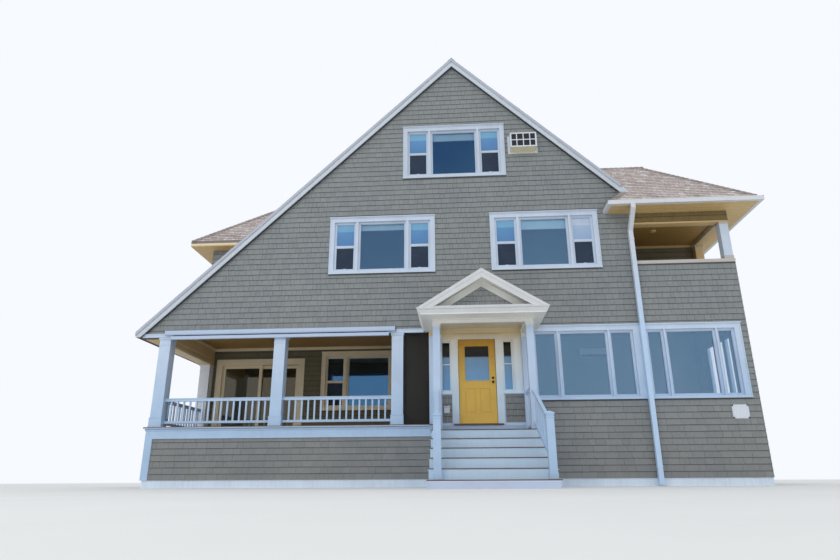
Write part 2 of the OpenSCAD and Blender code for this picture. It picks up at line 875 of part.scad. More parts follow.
module main_roof_right() {
  color(roof_brown) placed() difference() {
    in_xz(-rake_out, house_depth + rake_out)
      slope_outline(1, right_eave_run, right_head);
    hip_solid(right_eave_run, -wing_out, bay_low, 0);
    span(balcony_left, far, -far, wing_depth, 0, bay_low + 1);
    span(wing_eave_left, far, -far, 0, 0, bay_low + 1);
  }
}

module ridge_cap() {
  color(roof_brown) placed() in_xz(-rake_out, house_depth + rake_out) polygon([
    [0, ridge_z + seat], [-ridge_cap_w, top_z(ridge_cap_w) + seat],
    [-ridge_cap_w, top_z(ridge_cap_w) + ridge_cap_t], [0, ridge_z + ridge_cap_t],
    [ridge_cap_w, top_z(ridge_cap_w) + ridge_cap_t],
    [ridge_cap_w, top_z(ridge_cap_w) + seat]]);
}

// One rake board pair drawn flat, h deep square to the slope, down to the given heights
module rake_outline(h, run_l, low_l, run_r, low_r) {
  v = h / cos(roof_pitch);
  polygon([
    [-run_l, top_z(run_l)], [0, ridge_z], [run_r, top_z(run_r)], [run_r, low_r],
    [(ridge_z - v - low_r) / slope, low_r], [0, ridge_z - v],
    [-(ridge_z - v - low_l) / slope, low_l], [-run_l, low_l]]);
}

// The front rake boards end square above the wing roof's return hip
rake_v = rake_board_h / cos(roof_pitch);
rake_end = (ridge_z - rake_v - bay_eave_z + wing_eave_left * slope) / (2 * slope);

module rake_boards() {
  y0 = -rake_out - rake_board_t;
  color(trim_white) placed() {
    difference() {
      union() {
        in_xz(y0, -rake_out) rake_outline(rake_board_h, left_eave_run, porch_head,
          right_eave_run, right_head);
        in_xz(y0 - rake_board_t, y0) rake_outline(rake_crown_h, left_eave_run,
          top_z(left_eave_run) - rake_crown_h / cos(roof_pitch), right_eave_run,
          right_head);
      }
      span(rake_end, far, -far, 0, 0, far);
    }
    in_xz(house_depth + rake_out, y_rear)
      rake_outline(rake_board_h, left_eave_run, porch_head, right_eave_run, right_head);
  }
}

// Cheek walls of the wing and the dormer

// Left cheek and back wall of the balcony, rear cheek of the wing, and the dormer's walls
module cheek_walls() {
  inner = right_run - wall_t;
  cheek = balcony_left - wall_t;
  color(shingle_grey) placed() {
    in_xz(wall_t, balcony_depth + wall_t) polygon([
      [cheek, second_floor], [balcony_left, second_floor],
      [balcony_left, under_z(balcony_left)], [cheek, under_z(cheek)]]);
    span(balcony_left, inner, balcony_depth, balcony_depth + wall_t, second_floor,
      bay_wall_top);
    in_xz(wing_depth - wall_t, wing_depth) polygon([
      [x_under(bay_wall_top), bay_wall_top], [inner, bay_wall_top],
      [inner, under_z(inner)]]);
    difference() {
      union() {
        span(-dormer_run, -dormer_run + wall_t, dormer_y0, dormer_y1, 0, bay_wall_top);
        for (y = [dormer_y0, dormer_y1 - wall_t])
          span(-dormer_run, -x_under(bay_wall_top), y, y + wall_t, 0, bay_wall_top);
      }
      under_main();
      face_left(dormer_run) for (u = dormer_list) window_hole(u);
    }
  }
}

// Balcony

post_x = right_run - balcony_post;

// Parapet cap and the two posts of the balcony
module balcony_frame() {
  cap_top = parapet_z + cap_t;
  color(trim_white) placed() {
    span(balcony_left, right_run + cap_out, -cap_out, wall_t + cap_out, parapet_z, cap_top);
    span(right_run - wall_t - cap_out, right_run + cap_out, -cap_out, balcony_depth,
      parapet_z, cap_top);
    for (y = [0, balcony_depth - balcony_post])
      span(post_x, right_run, y, y + balcony_post, cap_top, beam_z);
  }
}

// Beams over the balcony's open sides, and the beam over the porch's left side
module beams() {
  color(trim_white) placed() {
    span(balcony_left, right_run, 0, balcony_post, beam_z, bay_wall_top);
    span(post_x, right_run, 0, balcony_depth, beam_z, bay_wall_top);
    span(-left_run, -left_run + porch_post, porch_post, porch_depth, side_beam_z,
      porch_ceiling_z);
  }
}

// Board ceilings of the porch and the balcony
module ceilings() {
  color(wood_tan) placed() {
    span(-left_run + porch_post, -porch_right, wall_t, porch_depth, porch_ceiling_z,
      porch_ceiling_z + soffit_t);
    span(balcony_left, post_x, balcony_post, balcony_depth, beam_z + balcony_ceiling_up,
      beam_z + balcony_ceiling_up + soffit_t);
  }
}

// Boards that close the eaves

module soffit_strip(side, wall_run, low, y0, y1) {
  x0 = x_under(low) - seat;
  in_xz(y0, y1) polygon([
    [side * x0, low], [side * wall_run, low], [side * wall_run, low + soffit_t],
    [side * (x0 - soffit_t / slope), low + soffit_t]]);
}

// Boards under the left and right eaves, and under the wing and dormer roofs
module soffits() {
  in_roof = x_top(bay_wall_top) + seat;
  in_room = x_under(bay_wall_top) + seat;
  dormer_back = dormer_front + bay_depth;
  color(wood_tan) placed() {
    soffit_strip(-1, left_run, porch_head, wall_t, inner_rear);
    soffit_strip(1, right_run, right_head, wing_depth, inner_rear);
    translate([0, 0, bay_wall_top]) {
      linear_extrude(soffit_t) polygon([
        [wing_eave_left, -wing_out], [right_eave_run, -wing_out],
        [right_eave_run, wing_rear], [in_roof, wing_rear], [in_roof, wing_depth],
        [balcony_left, wing_depth], [balcony_left, 0], [wing_eave_left, 0]]);
      linear_extrude(soffit_t) polygon([
        [-in_roof, dormer_front], [-dormer_eave, dormer_front],
        [-dormer_eave, dormer_back], [-in_roof, dormer_back], [-in_roof, dormer_y1],
        [-in_room, dormer_y1], [-in_room, dormer_y0], [-in_roof, dormer_y0]]);
    }
  }
}

// Gutter along the wing's eaves with its return to the wall, and the downspout

gutter_top = bay_eave_z - gutter_drop;
gutter_low = gutter_top - gutter_h;
spout_back = trim_t + sill_nose;
spout_foot = 40;

// The trough's outline in plan, drawn in by the given amount
module gutter_plan(by) {
  x0 = wing_eave_left - gutter_w + by;
  x1 = right_eave_run + gutter_w - by;
  y0 = -wing_out - gutter_w + by;
  in_y = -wing_out - by;
  translate([x0, y0]) square([x1 - x0, in_y - y0]);
  translate([x0, y0]) square([gutter_w - 2 * by, -y0 - by]);
  translate([right_eave_run + by, y0]) square([gutter_w - 2 * by, wing_rear - y0 - by]);
}

module rain_gutter() {
  y0 = -wing_out - gutter_w;
  y1 = -spout_back - spout_w;
  elbow_top = gutter_low - spout_w;
  elbow_low = elbow_top - (y1 - y0);
  lap = spout_w / 3;
  color(trim_white) placed() {
    difference() {
      translate([0, 0, gutter_low]) linear_extrude(gutter_h) gutter_plan(0);
      translate([0, 0, gutter_low + gutter_t]) linear_extrude(gutter_h)
        gutter_plan(gutter_t);
    }
    in_yz(spout_x, spout_x + spout_w) polygon([
      [y0, gutter_low], [y0, elbow_top], [y1, elbow_low], [y1, spout_foot],
      [y1 + spout_w, spout_foot], [y1 + spout_w, elbow_low + lap],
      [y0 + gutter_w, elbow_top + lap], [y0 + gutter_w, gutter_low]]);
  }
}

// Porch

post_pitch = (left_run - porch_right - screen_w - porch_post) / 2;
function post_x0(i) = -left_run + i * post_pitch;

module porch_post_at(x, y, top) {
  out = post_block_out;
  span(x, x + porch_post, y, y + porch_post, first_floor, top);
  span(x - out, x + porch_post + out, y - out, y + porch_post + out, first_floor,
    first_floor + post_block_h);
}

module porch_posts() {
  color(trim_white) placed() {
    for (i = [0:2]) porch_post_at(post_x0(i), 0, porch_head);
    porch_post_at(-left_run, porch_depth - porch_post - post_block_out, side_beam_z);
  }
}

// A flat railing panel of length l along X and height h, between two posts whose foot
// blocks reach out past them
module rail_panel(l, h = rail_h, out = post_block_out) {
  n = max(1, floor(l / baluster_pitch) - 1);
  translate([out, -rail_w / 2, rail_gap]) cube([l - 2 * out, rail_w, rail_t]);
  translate([0, -rail_w / 2, h - rail_t]) cube([l, rail_w, rail_t]);
  for (i = [1:n])
    translate([i * l / (n + 1) - baluster / 2, -baluster / 2, rail_gap])
      cube([baluster, baluster, h - rail_gap]);
}

module porch_rails() {
  color(trim_white) placed() {
    for (i = [0, 1])
      translate([post_x0(i) + porch_post, porch_post / 2, first_floor])
        rail_panel(post_pitch - porch_post);
    translate([-left_run + porch_post / 2, porch_post, first_floor]) rotate([0, 0, 90])
      rail_panel(porch_depth - 2 * porch_post - post_block_out);
  }
}

// Folded awning: its case on the wall, and its front bar on two brackets below
module awning() {
  x0 = -left_run + awning_in;
  x1 = post_x0(2) + porch_post / 3;
  bar_in = awning_in;
  low = porch_head - awning_h;
  bracket = awning_h / 3;
  color(trim_white) placed() {
    span(x0, x1, -awning_out, 0, porch_head, porch_head + awning_h);
    span(x0 + bar_in, x1 - bar_in, -awning_out * 5 / 6, -awning_out / 4, low,
      porch_head - awning_gap);
    for (x = [x0 + 2 * bar_in, x1 - 3 * bar_in])
      span(x, x + bracket, -awning_out * 3 / 4, -awning_out / 3, porch_head - awning_gap,
        porch_head);
  }
}

screen_bar = 45;
mesh_t = 4;

// Dark screen in its frame beside the entry
module screen_panel() {
  x0 = post_x0(2) + porch_post + post_block_out;
  w = -porch_right - x0;
  h = porch_head - first_floor;
  y = wall_t / 2;
  color(dark_mesh) placed() {
    in_xz(y, y + screen_bar) difference() {
      rect(x0, first_floor, w, h);
      rect(x0 + screen_bar, first_floor + screen_bar, w - 2 * screen_bar,
        h - 2 * screen_bar);
    }
    in_xz(y + (screen_bar - mesh_t) / 2, y + (screen_bar + mesh_t) / 2)
      rect(x0 + screen_bar / 2, first_floor + screen_bar / 2, w - screen_bar,
        h - screen_bar);
  }
}

// Entry door: an inward hinge on the left, with its knuckles stacked on the frame's

hinge_r = 9;
hinge_out = 5;
hinge_h = 50;
hinge_gap = 0.3;
plate_t = 6;
hinge_x = door_x0 + hinge_out + hinge_r;
hinge_y = door_in + door_t + hinge_out + hinge_r;
hinge_rows = [door_h / 8, door_h / 2, door_h * 7 / 8];

module door_frame() {
  casing = door_post - 2 * hinge_out;
  color(trim_white) placed() {
    in_xz(0, wall_t) difference() {
      rect(door_x0 - door_jamb, first_floor, door_x1 - door_x0 + 2 * door_jamb,
        head_z - first_floor);
      rect(door_x0, first_floor + threshold_h, door_x1 - door_x0,
        door_top - first_floor - threshold_h);
    }
    in_xz(-trim_t, 0) difference() {
      rect(door_x0 - casing, first_floor, door_x1 - door_x0 + 2 * casing,
        door_top + casing * 3 / 4 - first_floor);
      rect(door_x0, first_floor - 1, door_x1 - door_x0, door_top - first_floor + 1);
    }
    for (z = hinge_rows) {
      translate([hinge_x, hinge_y, door_z + z]) cylinder(r = hinge_r, h = hinge_h);
      span(door_x0 - 2, hinge_x, hinge_y - plate_t / 2, hinge_y + plate_t / 2, door_z + z,
        door_z + z + hinge_h);
    }
  }
}

panel_lip = 30;
panel_in = 10;
leaf_stile = 140;
leaf_mid = 90;
panel_low = 260;
panel_rail = 165;
light_z = door_h / 2 - panel_in;
panel_w = (door_w - 2 * leaf_stile - leaf_mid) / 2;
panel_h = light_z - panel_rail - panel_low;

// Leaf with a glazed light above two raised panels
module entry_door() {
  color(door_yellow) placed() {
    translate([door_x, door_in, door_z]) {
      difference() {
        cube([door_w, door_t, door_h]);
        translate([leaf_stile, -1, light_z])
          cube([door_w - 2 * leaf_stile, door_t + 2, door_h - light_z - leaf_stile]);
        for (x = [leaf_stile, leaf_stile + panel_w + leaf_mid], y = [-1, door_t - panel_in])
          translate([x, y, panel_low]) cube([panel_w, panel_in + 1, panel_h]);
      }
      for (x = [leaf_stile, leaf_stile + panel_w + leaf_mid])
        translate([x + panel_lip, panel_in / 3, panel_low + panel_lip])
          cube([panel_w - 2 * panel_lip, door_t - panel_in * 2 / 3,
            panel_h - 2 * panel_lip]);
    }
    for (z = hinge_rows) {
      low = door_z + z + hinge_h + hinge_gap;
      translate([hinge_x, hinge_y, low]) cylinder(r = hinge_r, h = hinge_h);
      span(hinge_x, hinge_x + leaf_mid / 2, door_in + door_t - 1, hinge_y + plate_t / 2, low,
        low + hinge_h);
    }
  }
}

module door_glass() {
  color(glass_blue) placed()
    translate([door_x + leaf_stile, door_in + (door_t - glass_t) / 2, door_z + light_z])
      cube([door_w - 2 * leaf_stile, glass_t, door_h - light_z - leaf_stile]);
}

rose_r = 30;
knob_in = 72;
knob_z = door_h / 2 - rose_r;
bolt_up = 100;
rose_t = 8;
neck_r = 10;

// One knob or bolt on the plane of a leaf face, turned from its outline
module knob(r, out) {
  rotate_extrude() polygon([
    [0, 0], [rose_r, 0], [rose_r, rose_t / 2], [rose_r - rose_t / 2, rose_t],
    [neck_r, rose_t], [neck_r, out - rose_r * 2 / 3], [r * 3 / 4, out - rose_r * 2 / 3],
    [r, out - rose_r / 3], [r * 3 / 4, out], [0, out]]);
}

// Knob and deadbolt on both faces of the leaf
module door_hardware() {
  color(iron_black) placed() translate([door_x + door_w - knob_in, door_in, door_z])
    for (b = [[knob_z, 28, 55], [knob_z + bolt_up, 24, 28]]) {
      translate([0, 0, b[0]]) rotate([90, 0, 0]) knob(b[1], b[2]);
      translate([0, door_t, b[0]]) rotate([-90, 0, 0]) knob(b[1], b[2]);
    }
}

// Patio door: the fixed panel is part of the frame, and the right panel slides behind it

patio_y = porch_depth + patio_jamb;
slide_y = patio_y + patio_t + leaf_gap;
track_y = slide_y + patio_t / 2;
sill_top = patio_z0 + patio_sill;

module patio_panel(x0, x1, y, z0, z1) {
  in_xz(y, y + patio_t) difference() {
    rect(x0, z0, x1 - x0, z1 - z0);
    rect(x0 + patio_stile, z0 + patio_stile, x1 - x0 - 2 * patio_stile,
      z1 - z0 - 2 * patio_stile);
  }
}

module patio_frame() {
  casing = trim_w - trim_t;
  w = patio_x1 - patio_x0;
  h = patio_z1 - patio_z0;
  color(trim_white) placed() {
    in_xz(porch_depth - trim_t, porch_depth) difference() {
      rect(patio_x0 - casing, patio_z0, w + 2 * casing, h + casing);
      rect(patio_x0, patio_z0 - 1, w, h + 1);
    }
    in_xz(porch_depth - trim_t, porch_depth + wall_t) difference() {
      rect(patio_x0, patio_z0, w, h);
      rect(patio_x0 + patio_jamb, sill_top, w - 2 * patio_jamb,
        patio_z1 - patio_jamb - sill_top);
    }
    patio_panel(patio_x0 + patio_jamb, patio_mid + patio_stile / 2, patio_y, sill_top,
      patio_z1 - patio_jamb);
    span(patio_x0 + patio_jamb, patio_x1 - patio_jamb, track_y - track, track_y + track,
      sill_top, sill_top + track);
  }
}

slider_x0 = patio_mid - patio_stile / 2;
slider_x1 = patio_x1 - patio_jamb - leaf_gap;
slider_z0 = sill_top + track + leaf_gap;
slider_z1 = patio_z1 - patio_jamb - leaf_gap;

module patio_slider() {
  color(trim_white) placed() {
    patio_panel(slider_x0, slider_x1, slide_y, slider_z0, slider_z1);
    for (x = [slider_x0 + runner_l, slider_x1 - 2 * runner_l])
      span(x, x + runner_l, track_y - track, track_y + track,
        sill_top + track + runner_gap, slider_z0);
  }
}

module slider_glass() {
  y = slide_y + (patio_t - glass_t) / 2;
  color(glass_blue) placed()
    span(slider_x0 + patio_stile, slider_x1 - patio_stile, y, y + glass_t,
      slider_z0 + patio_stile, slider_z1 - patio_stile);
}

// Steps, landing and platform

function step_y(i) = -landing_out - i * tread_run;
function step_z(i) = landing_z - i * rise;

module stair_treads() {
  x0 = steps_x0 - nosing;
  x1 = steps_x1 + nosing;
  color(deck_brown) placed() {
    span(x0, x1, step_y(0) - nosing, 0, landing_z - tread_t, landing_z);
    for (i = [1:step_count + 1])
      span(x0, x1, step_y(i) - nosing, step_y(i - 1) - riser_t, step_z(i) - tread_t,
        step_z(i));
  }
}

// Risers and closed sides under the landing and the steps
module stair_carriage() {
  last = step_count + 1;
  function foot(i) = i == last ? 0 : step_z(i + 1) - tread_t;
  color(trim_white) placed() {
    for (i = [0:last])
      span(steps_x0, steps_x1, step_y(i) - riser_t, step_y(i), foot(i),
        step_z(i) - tread_t);
    for (x = [steps_x0, steps_x1 - riser_t])
      in_yz(x, x + riser_t) polygon(concat(
        [[0, 0], [0, landing_z - tread_t]],
        [for (i = [0:last]) each [
          [step_y(i), step_z(i) - tread_t], [step_y(i), foot(i)]]]));
  }
}

column_x = [portico_x - column_pitch / 2, portico_x + column_pitch / 2];
column_front = -landing_out;
newel_back = step_y(step_count) - step_lip;
newel_lip = 15;
newel_cap = 30;

// One stair railing from a column's front face down to its newel post
module stair_rail(x0, x1) {
  run = column_front - newel_back;
  turn = atan2(x1 - x0, run);
  l = run / cos(turn);
  trim = rail_w / 2 * abs(tan(turn));
  top0 = landing_z + stair_rail_h;
  top1 = platform_z + newel_h - rail_t;
  drop = top0 - top1;
  depth = stair_rail_h - rail_t - rail_gap;
  n = floor(l / baluster_pitch) - 1;
  span(x1 - newel / 2, x1 + newel / 2, newel_back - newel, newel_back, platform_z,
    platform_z + newel_h);
  span(x1 - newel / 2 - newel_lip, x1 + newel / 2 + newel_lip,
    newel_back - newel - newel_lip, newel_back + newel_lip, platform_z + newel_h,
    platform_z + newel_h + newel_cap);
  translate([x0, column_front, 0]) rotate([0, 0, turn - 90]) {
    in_xz(-rail_w / 2, rail_w / 2) for (d = [0, depth]) polygon([
      [trim, top0 - d - rail_t], [trim, top0 - d],
      [l - trim, top1 - d], [l - trim, top1 - d - rail_t]]);
    for (i = [1:n]) {
      s = i * l / (n + 1);
      z = top0 - drop * s / l - rail_t / 2;
      span(s - baluster / 2, s + baluster / 2, -baluster / 2, baluster / 2, z - depth, z);
    }
  }
}

// Railings down the steps, and level ones from the columns back to the half columns
module stair_rails() {
  color(trim_white) placed() {
    for (x = column_x)
      translate([x, column_front + column, landing_z]) rotate([0, 0, 90])
        rail_panel(landing_out - column * 3 / 2, landing_rail_h, 0);
    stair_rail(column_x[0], column_x[0] + newel_left_in);
    stair_rail(column_x[1], column_x[1] + newel_right_out);
  }
}

// Portico

portico_beam_z = porch_head - portico_beam_down;
portico_top = portico_beam_z + portico_beam_h;
portico_eave_z = portico_top + eave_lift;
frame_half = column_pitch / 2 + column / 2;
portico_half = frame_half + portico_side;
portico_out = landing_out + portico_eave;
portico_v = portico_roof_t / cos(atan2(portico_rise, portico_half));

// Columns with their caps, half columns on the wall, beams and the flat ceiling
module portico_frame() {
  color(trim_white) placed() {
    for (x = column_x) {
      x0 = x - column / 2;
      span(x0, x0 + column, column_front, column_front + column, landing_z,
        portico_beam_z);
      span(x0 - cap_lip, x0 + column + cap_lip, column_front - cap_lip,
        column_front + column + cap_lip, portico_beam_z - cap_h, portico_beam_z);
      span(x0, x0 + column, -column / 2, 0, landing_z, portico_beam_z);
      span(x0, x0 + column, column_front, 0, portico_beam_z, portico_top);
    }
    span(portico_x - frame_half, portico_x + frame_half, column_front,
      column_front + column, portico_beam_z, portico_top);
    span(portico_x - frame_half + column, portico_x + frame_half - column,
      column_front + column, 0, portico_top - soffit_t, portico_top);
  }
}

module portico_gable(half, eave, rise_h) {
  polygon([
    [portico_x - half, eave], [portico_x, eave + rise_h], [portico_x + half, eave]]);
}

module portico_hollow(y0) {
  in_xz(y0, 1) portico_gable(portico_half - portico_v, portico_top,
    portico_eave_z + portico_rise - portico_v - portico_top);
}

// Gable roof of the portico with its boxed cornice, cut round the window trim beside it
module portico_roof() {
  foot = portico_eave_z - cornice_h;
  color(trim_white) placed() difference() {
    in_xz(-portico_out, 0) union() {
      polygon([
        [portico_x - portico_half, portico_eave_z],
        [portico_x, portico_eave_z + portico_rise],
        [portico_x + portico_half, portico_eave_z],
        [portico_x + portico_half - portico_v, portico_top],
        [portico_x - portico_half + portico_v, portico_top]]);
      polygon([
        [portico_x - portico_half, portico_eave_z],
        [portico_x + portico_half, portico_eave_z],
        [portico_x + portico_half - cornice_in, foot],
        [portico_x - portico_half + cornice_in, foot]]);
    }
    portico_hollow(column_front - panel_t);
    in_xz(-portico_out - 1, column_front) portico_gable(portico_half - portico_v,
      portico_eave_z + eave_lift, portico_rise - portico_v - eave_lift);
    span(portico_x - frame_half, portico_x + frame_half, column_front, 1, 0, portico_top);
    in_xz(-trim_t, 1) unit_outer(sun_left);
  }
}

// Shingled panel set back in the portico's gable
module pediment_panel() {
  color(shingle_grey) placed()
    in_xz(column_front, column_front + panel_t) portico_gable(portico_half - portico_v,
      portico_top, portico_eave_z + portico_rise - portico_v - portico_top);
}

// Fittings on the front wall

// Room cooler in its sleeve
module air_conditioner() {
  color(trim_white) placed() {
    in_xz(-trim_t, wall_t) difference() {
      rect(cooler_x, cooler_z, cooler_w, cooler_h);
      rect(cooler_x + cooler_rim, cooler_z + cooler_rim, cooler_w - 2 * cooler_rim,
        cooler_h - 2 * cooler_rim);
    }
    in_xz(-cooler_out, wall_t + cooler_back) rect(cooler_x + cooler_rim,
      cooler_z + cooler_rim, cooler_w - 2 * cooler_rim, cooler_h - 2 * cooler_rim);
  }
}

plaque_t = 20;
plaque_up = 60;
plaque_side = 290;
letter_t = 30;
letter_up = 260;
notch = 40;

// Notched number plaque at the right corner, and the letter box beside the entry door
module wall_plates() {
  px = right_run - plaque_side - plaque_w;
  pz = first_floor + plaque_up;
  lx = sidelights[0] + (sidelight_w - letter_w) / 2;
  color(trim_white) placed() {
    in_xz(-plaque_t, 0) {
      rect(px + notch, pz, plaque_w - 2 * notch, plaque_h);
      rect(px, pz + notch, plaque_w, plaque_h - 2 * notch);
    }
    in_xz(-letter_t, 0) rect(lx, first_floor + letter_up, letter_w, letter_h);
  }
}

foundation();
front_skirt();
porch_rim();
porch_deck();
floors();
front_gable_wall();
sunroom_wall();
entry_wall();
porch_back_wall();
inner_walls();
left_wall();
right_wall();
rear_wall();
cheek_walls();
ceilings();
porch_posts();
porch_rails();
beams();
awning();
screen_panel();
balcony_frame();
main_roof_left();
main_roof_right();
ridge_cap();
hip_roofs();
rake_boards();
soffits();
rain_gutter();
front_windows();
side_windows();
rear_windows();
window_glass();
door_frame();
entry_door();
door_glass();
door_hardware();
patio_frame();
patio_slider();
slider_glass();
stair_treads();
stair_carriage();
stair_rails();
portico_frame();
portico_roof();
pediment_panel();
air_conditioner();
wall_plates();
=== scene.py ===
import bmesh
import bpy
import math
import random
from mathutils import Matrix, Vector


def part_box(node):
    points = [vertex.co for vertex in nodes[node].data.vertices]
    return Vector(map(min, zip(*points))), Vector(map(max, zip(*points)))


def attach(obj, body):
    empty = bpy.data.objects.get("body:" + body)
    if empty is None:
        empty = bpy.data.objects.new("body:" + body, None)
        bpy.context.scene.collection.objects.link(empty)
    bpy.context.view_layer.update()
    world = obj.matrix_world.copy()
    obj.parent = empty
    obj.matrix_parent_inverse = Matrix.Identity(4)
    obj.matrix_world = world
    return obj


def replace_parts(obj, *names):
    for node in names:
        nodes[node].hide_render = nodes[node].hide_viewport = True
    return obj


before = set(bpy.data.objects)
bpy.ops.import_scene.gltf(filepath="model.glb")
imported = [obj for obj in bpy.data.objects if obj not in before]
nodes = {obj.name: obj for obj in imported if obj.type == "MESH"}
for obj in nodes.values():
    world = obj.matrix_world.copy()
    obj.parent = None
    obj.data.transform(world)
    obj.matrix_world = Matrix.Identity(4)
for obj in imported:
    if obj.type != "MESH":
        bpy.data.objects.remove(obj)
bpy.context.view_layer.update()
scene = bpy.context.scene

# The house is drawn in its own metres: x from the ridge line, y from the front wall, z from the ground
houseShift = Vector((0.285, -4.060, 0.0))
pitch = math.radians(44)
slopeCos, slopeSin, slopeTan = math.cos(pitch), math.sin(pitch), math.tan(pitch)
house = {
    "left": -7.72, "right": 7.05, "rear": 11.0, "corner": 7.066, "ridge": 11.870,
    "foot": 0.18, "head": 3.70, "parapet": 5.43, "beam": 6.51, "wallTop": 6.80,
    "porchBack": 2.9, "balconyLeft": 4.60, "balconyBack": 1.90, "wingRear": 3.20,
    "leftEave": 8.33, "rightEave": 7.66, "bayEave": 6.97, "bayHalf": 2.12,
    "dormerLeft": -7.34, "dormerFront": 1.80, "dormerRear": 5.24,
}
left, right, rear, corner = house["left"], house["right"], house["rear"], house["corner"]
foot, head, parapet, beamLow = house["foot"], house["head"], house["parapet"], house["beam"]
wallTop, balconyLeft, balconyBack = house["wallTop"], house["balconyLeft"], house["balconyBack"]
wingRear, dormerLeft = house["wingRear"], house["dormerLeft"]
dormerFront, dormerRear = house["dormerFront"], house["dormerRear"]
portico = {
    "x": 0.565, "half": 1.4995, "eave": 3.86, "rise": 0.92, "front": -1.70, "panel": -1.25, "wide": 0.165,
    "columns": (-0.51, 1.64), "rows": ((-1.25, -1.085), (-0.0825, -0.002)),
    "collars": ((1.211, 1.345, 0.014), (1.345, 1.362, 0.007), (3.500, 3.514, 0.008), (3.590, 3.612, 0.024)),
}


# Mesh helpers

def newShape():
    return {"points": [], "faces": []}


def addPrism(shape, low, high):
    start, count = len(shape["points"]), len(low)
    shape["points"] += list(low) + list(high)
    shape["faces"].append(tuple(start + i for i in reversed(range(count))))
    shape["faces"].append(tuple(start + count + i for i in range(count)))
    for i in range(count):
        j = (i + 1) % count
        shape["faces"].append((start + i, start + j, start + count + j, start + count + i))


def oblong(u0, u1, v0, v1):
    return [(u0, v0), (u1, v0), (u1, v1), (u0, v1)]


def inset(area, by):
    u0, u1, v0, v1 = area
    return u0 + by, u1 - by, v0 + by, v1 - by


def addBox(shape, x0, x1, y0, y1, z0, z1):
    addPrism(shape, [(x, y, z0) for x, y in oblong(x0, x1, y0, y1)],
             [(x, y, z1) for x, y in oblong(x0, x1, y0, y1)])


def addCollar(shape, x0, x1, y0, y1, z0, z1, out):
    addBox(shape, x0 - out, x1 + out, y0 - out, y1 + out, z0, z1)


def addBar(shape, x0, x1, y0, y1, z0, z1, radius=0.02, steps=4):
    # a bar along x with its four long edges rounded
    ring = []
    for y, z, turn in ((y0, z0, 180), (y1, z0, 270), (y1, z1, 0), (y0, z1, 90)):
        middleY = y + radius * (1 if y == y0 else -1)
        middleZ = z + radius * (1 if z == z0 else -1)
        for step in range(steps + 1):
            angle = math.radians(turn + 90 * step / steps)
            ring.append((middleY + radius * math.cos(angle), middleZ + radius * math.sin(angle)))
    addPrism(shape, [(x0, y, z) for y, z in ring], [(x1, y, z) for y, z in ring])


def makePiece(name, shape, finish, slotName="white_trim", bevel=0.0, body="house"):
    mesh = bpy.data.meshes.new(name)
    mesh.from_pydata([Vector(point) + houseShift for point in shape["points"]], [], shape["faces"])
    work = bmesh.new()
    work.from_mesh(mesh)
    bmesh.ops.recalc_face_normals(work, faces=work.faces)
    work.to_mesh(mesh)
    work.free()
    piece = bpy.data.objects.new(name, mesh)
    scene.collection.objects.link(piece)
    mesh.materials.append(finishes[finish])
    if "rise" in shape:
        mesh.attributes.new("rise", "FLOAT", "POINT").data.foreach_set("value", shape["rise"])
    if bevel:
        edge = piece.modifiers.new("edges", "BEVEL")
        edge.width, edge.segments, edge.limit_method = bevel, 2, "ANGLE"
        edge.angle_limit = math.radians(40)
    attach(piece, body)
    return piece


# Walls as seen from outside: u runs to the right, out away from the wall, v up
def frontWall(y):
    return lambda u, out, v: (u, y - out, v)


def rearWall(y):
    return lambda u, out, v: (-u, y + out, v)


def rightWall(x):
    return lambda u, out, v: (x + out, u, v)


def leftWall(x):
    return lambda u, out, v: (x - out, -u, v)


def doorBack(u, out, v):
    return (u, 0.110 + out, v)


frontFace, porchFace, doorFront = frontWall(0.0), frontWall(house["porchBack"]), frontWall(0.065)
pedimentFace, corniceFace = frontWall(portico["panel"]), frontWall(portico["front"])
rearFace, rightFace = rearWall(rear), rightWall(right)
leftFace, dormerFace = leftWall(left), leftWall(dormerLeft)


def addPlate(shape, face, u0, u1, v0, v1, out0, out1):
    ring = oblong(u0, u1, v0, v1)
    addPrism(shape, [face(u, out0, v) for u, v in ring], [face(u, out1, v) for u, v in ring])


def addPane(shape, face, u0, u1, v0, v1, out0, out1, low=0.0, high=1.0):
    # a plate whose points keep how high they lie on the pane
    addPlate(shape, face, u0, u1, v0, v1, out0, out1)
    shape.setdefault("rise", []).extend([low, low, high, high] * 2)


def addFrame(shape, face, u0, u1, v0, v1, wide, out0, out1):
    # four mitred boards round an opening, wide outward from it
    inner, outer = oblong(u0, u1, v0, v1), oblong(u0 - wide, u1 + wide, v0 - wide, v1 + wide)
    for i in range(4):
        j = (i + 1) % 4
        ring = [inner[i], outer[i], outer[j], inner[j]]
        addPrism(shape, [face(u, out0, v) for u, v in ring], [face(u, out1, v) for u, v in ring])


def makePlates(name, rows, finish, slotName="white_trim", bevel=0.0):
    # each row: a face, then left, right, low, high, back and front of a board on it
    shape = newShape()
    for row in rows:
        addPlate(shape, *row)
    makePiece(name, shape, finish, slotName, bevel)


# Finishes

white = (1, 1, 1, 1)


def srgb(*levels):
    def linear(level):
        level /= 255
        return level / 12.92 if level < 0.04045 else ((level + 0.055) / 1.055) ** 2.4
    return tuple(linear(level) for level in levels) + (1.0,)


def grey(level):
    return (level, level, level, 1)


def dim(color, amount):
    return (color[0] * amount, color[1] * amount, color[2] * amount, 1.0)


def feed(tree, plug, value):
    if isinstance(value, bpy.types.NodeSocket):
        tree.links.new(value, plug)
    else:
        plug.default_value = value


def addNode(tree, kind, *feeds, **values):
    # feeds go to the first inputs in turn, values to the settings or inputs of that name
    node = tree.nodes.new(kind)
    for key, value in values.items():
        if hasattr(node, key):
            setattr(node, key, value)
        else:
            feed(tree, node.inputs[key.replace("_", " ")], value)
    for plug, value in zip(node.inputs, feeds):
        feed(tree, plug, value)
    return node


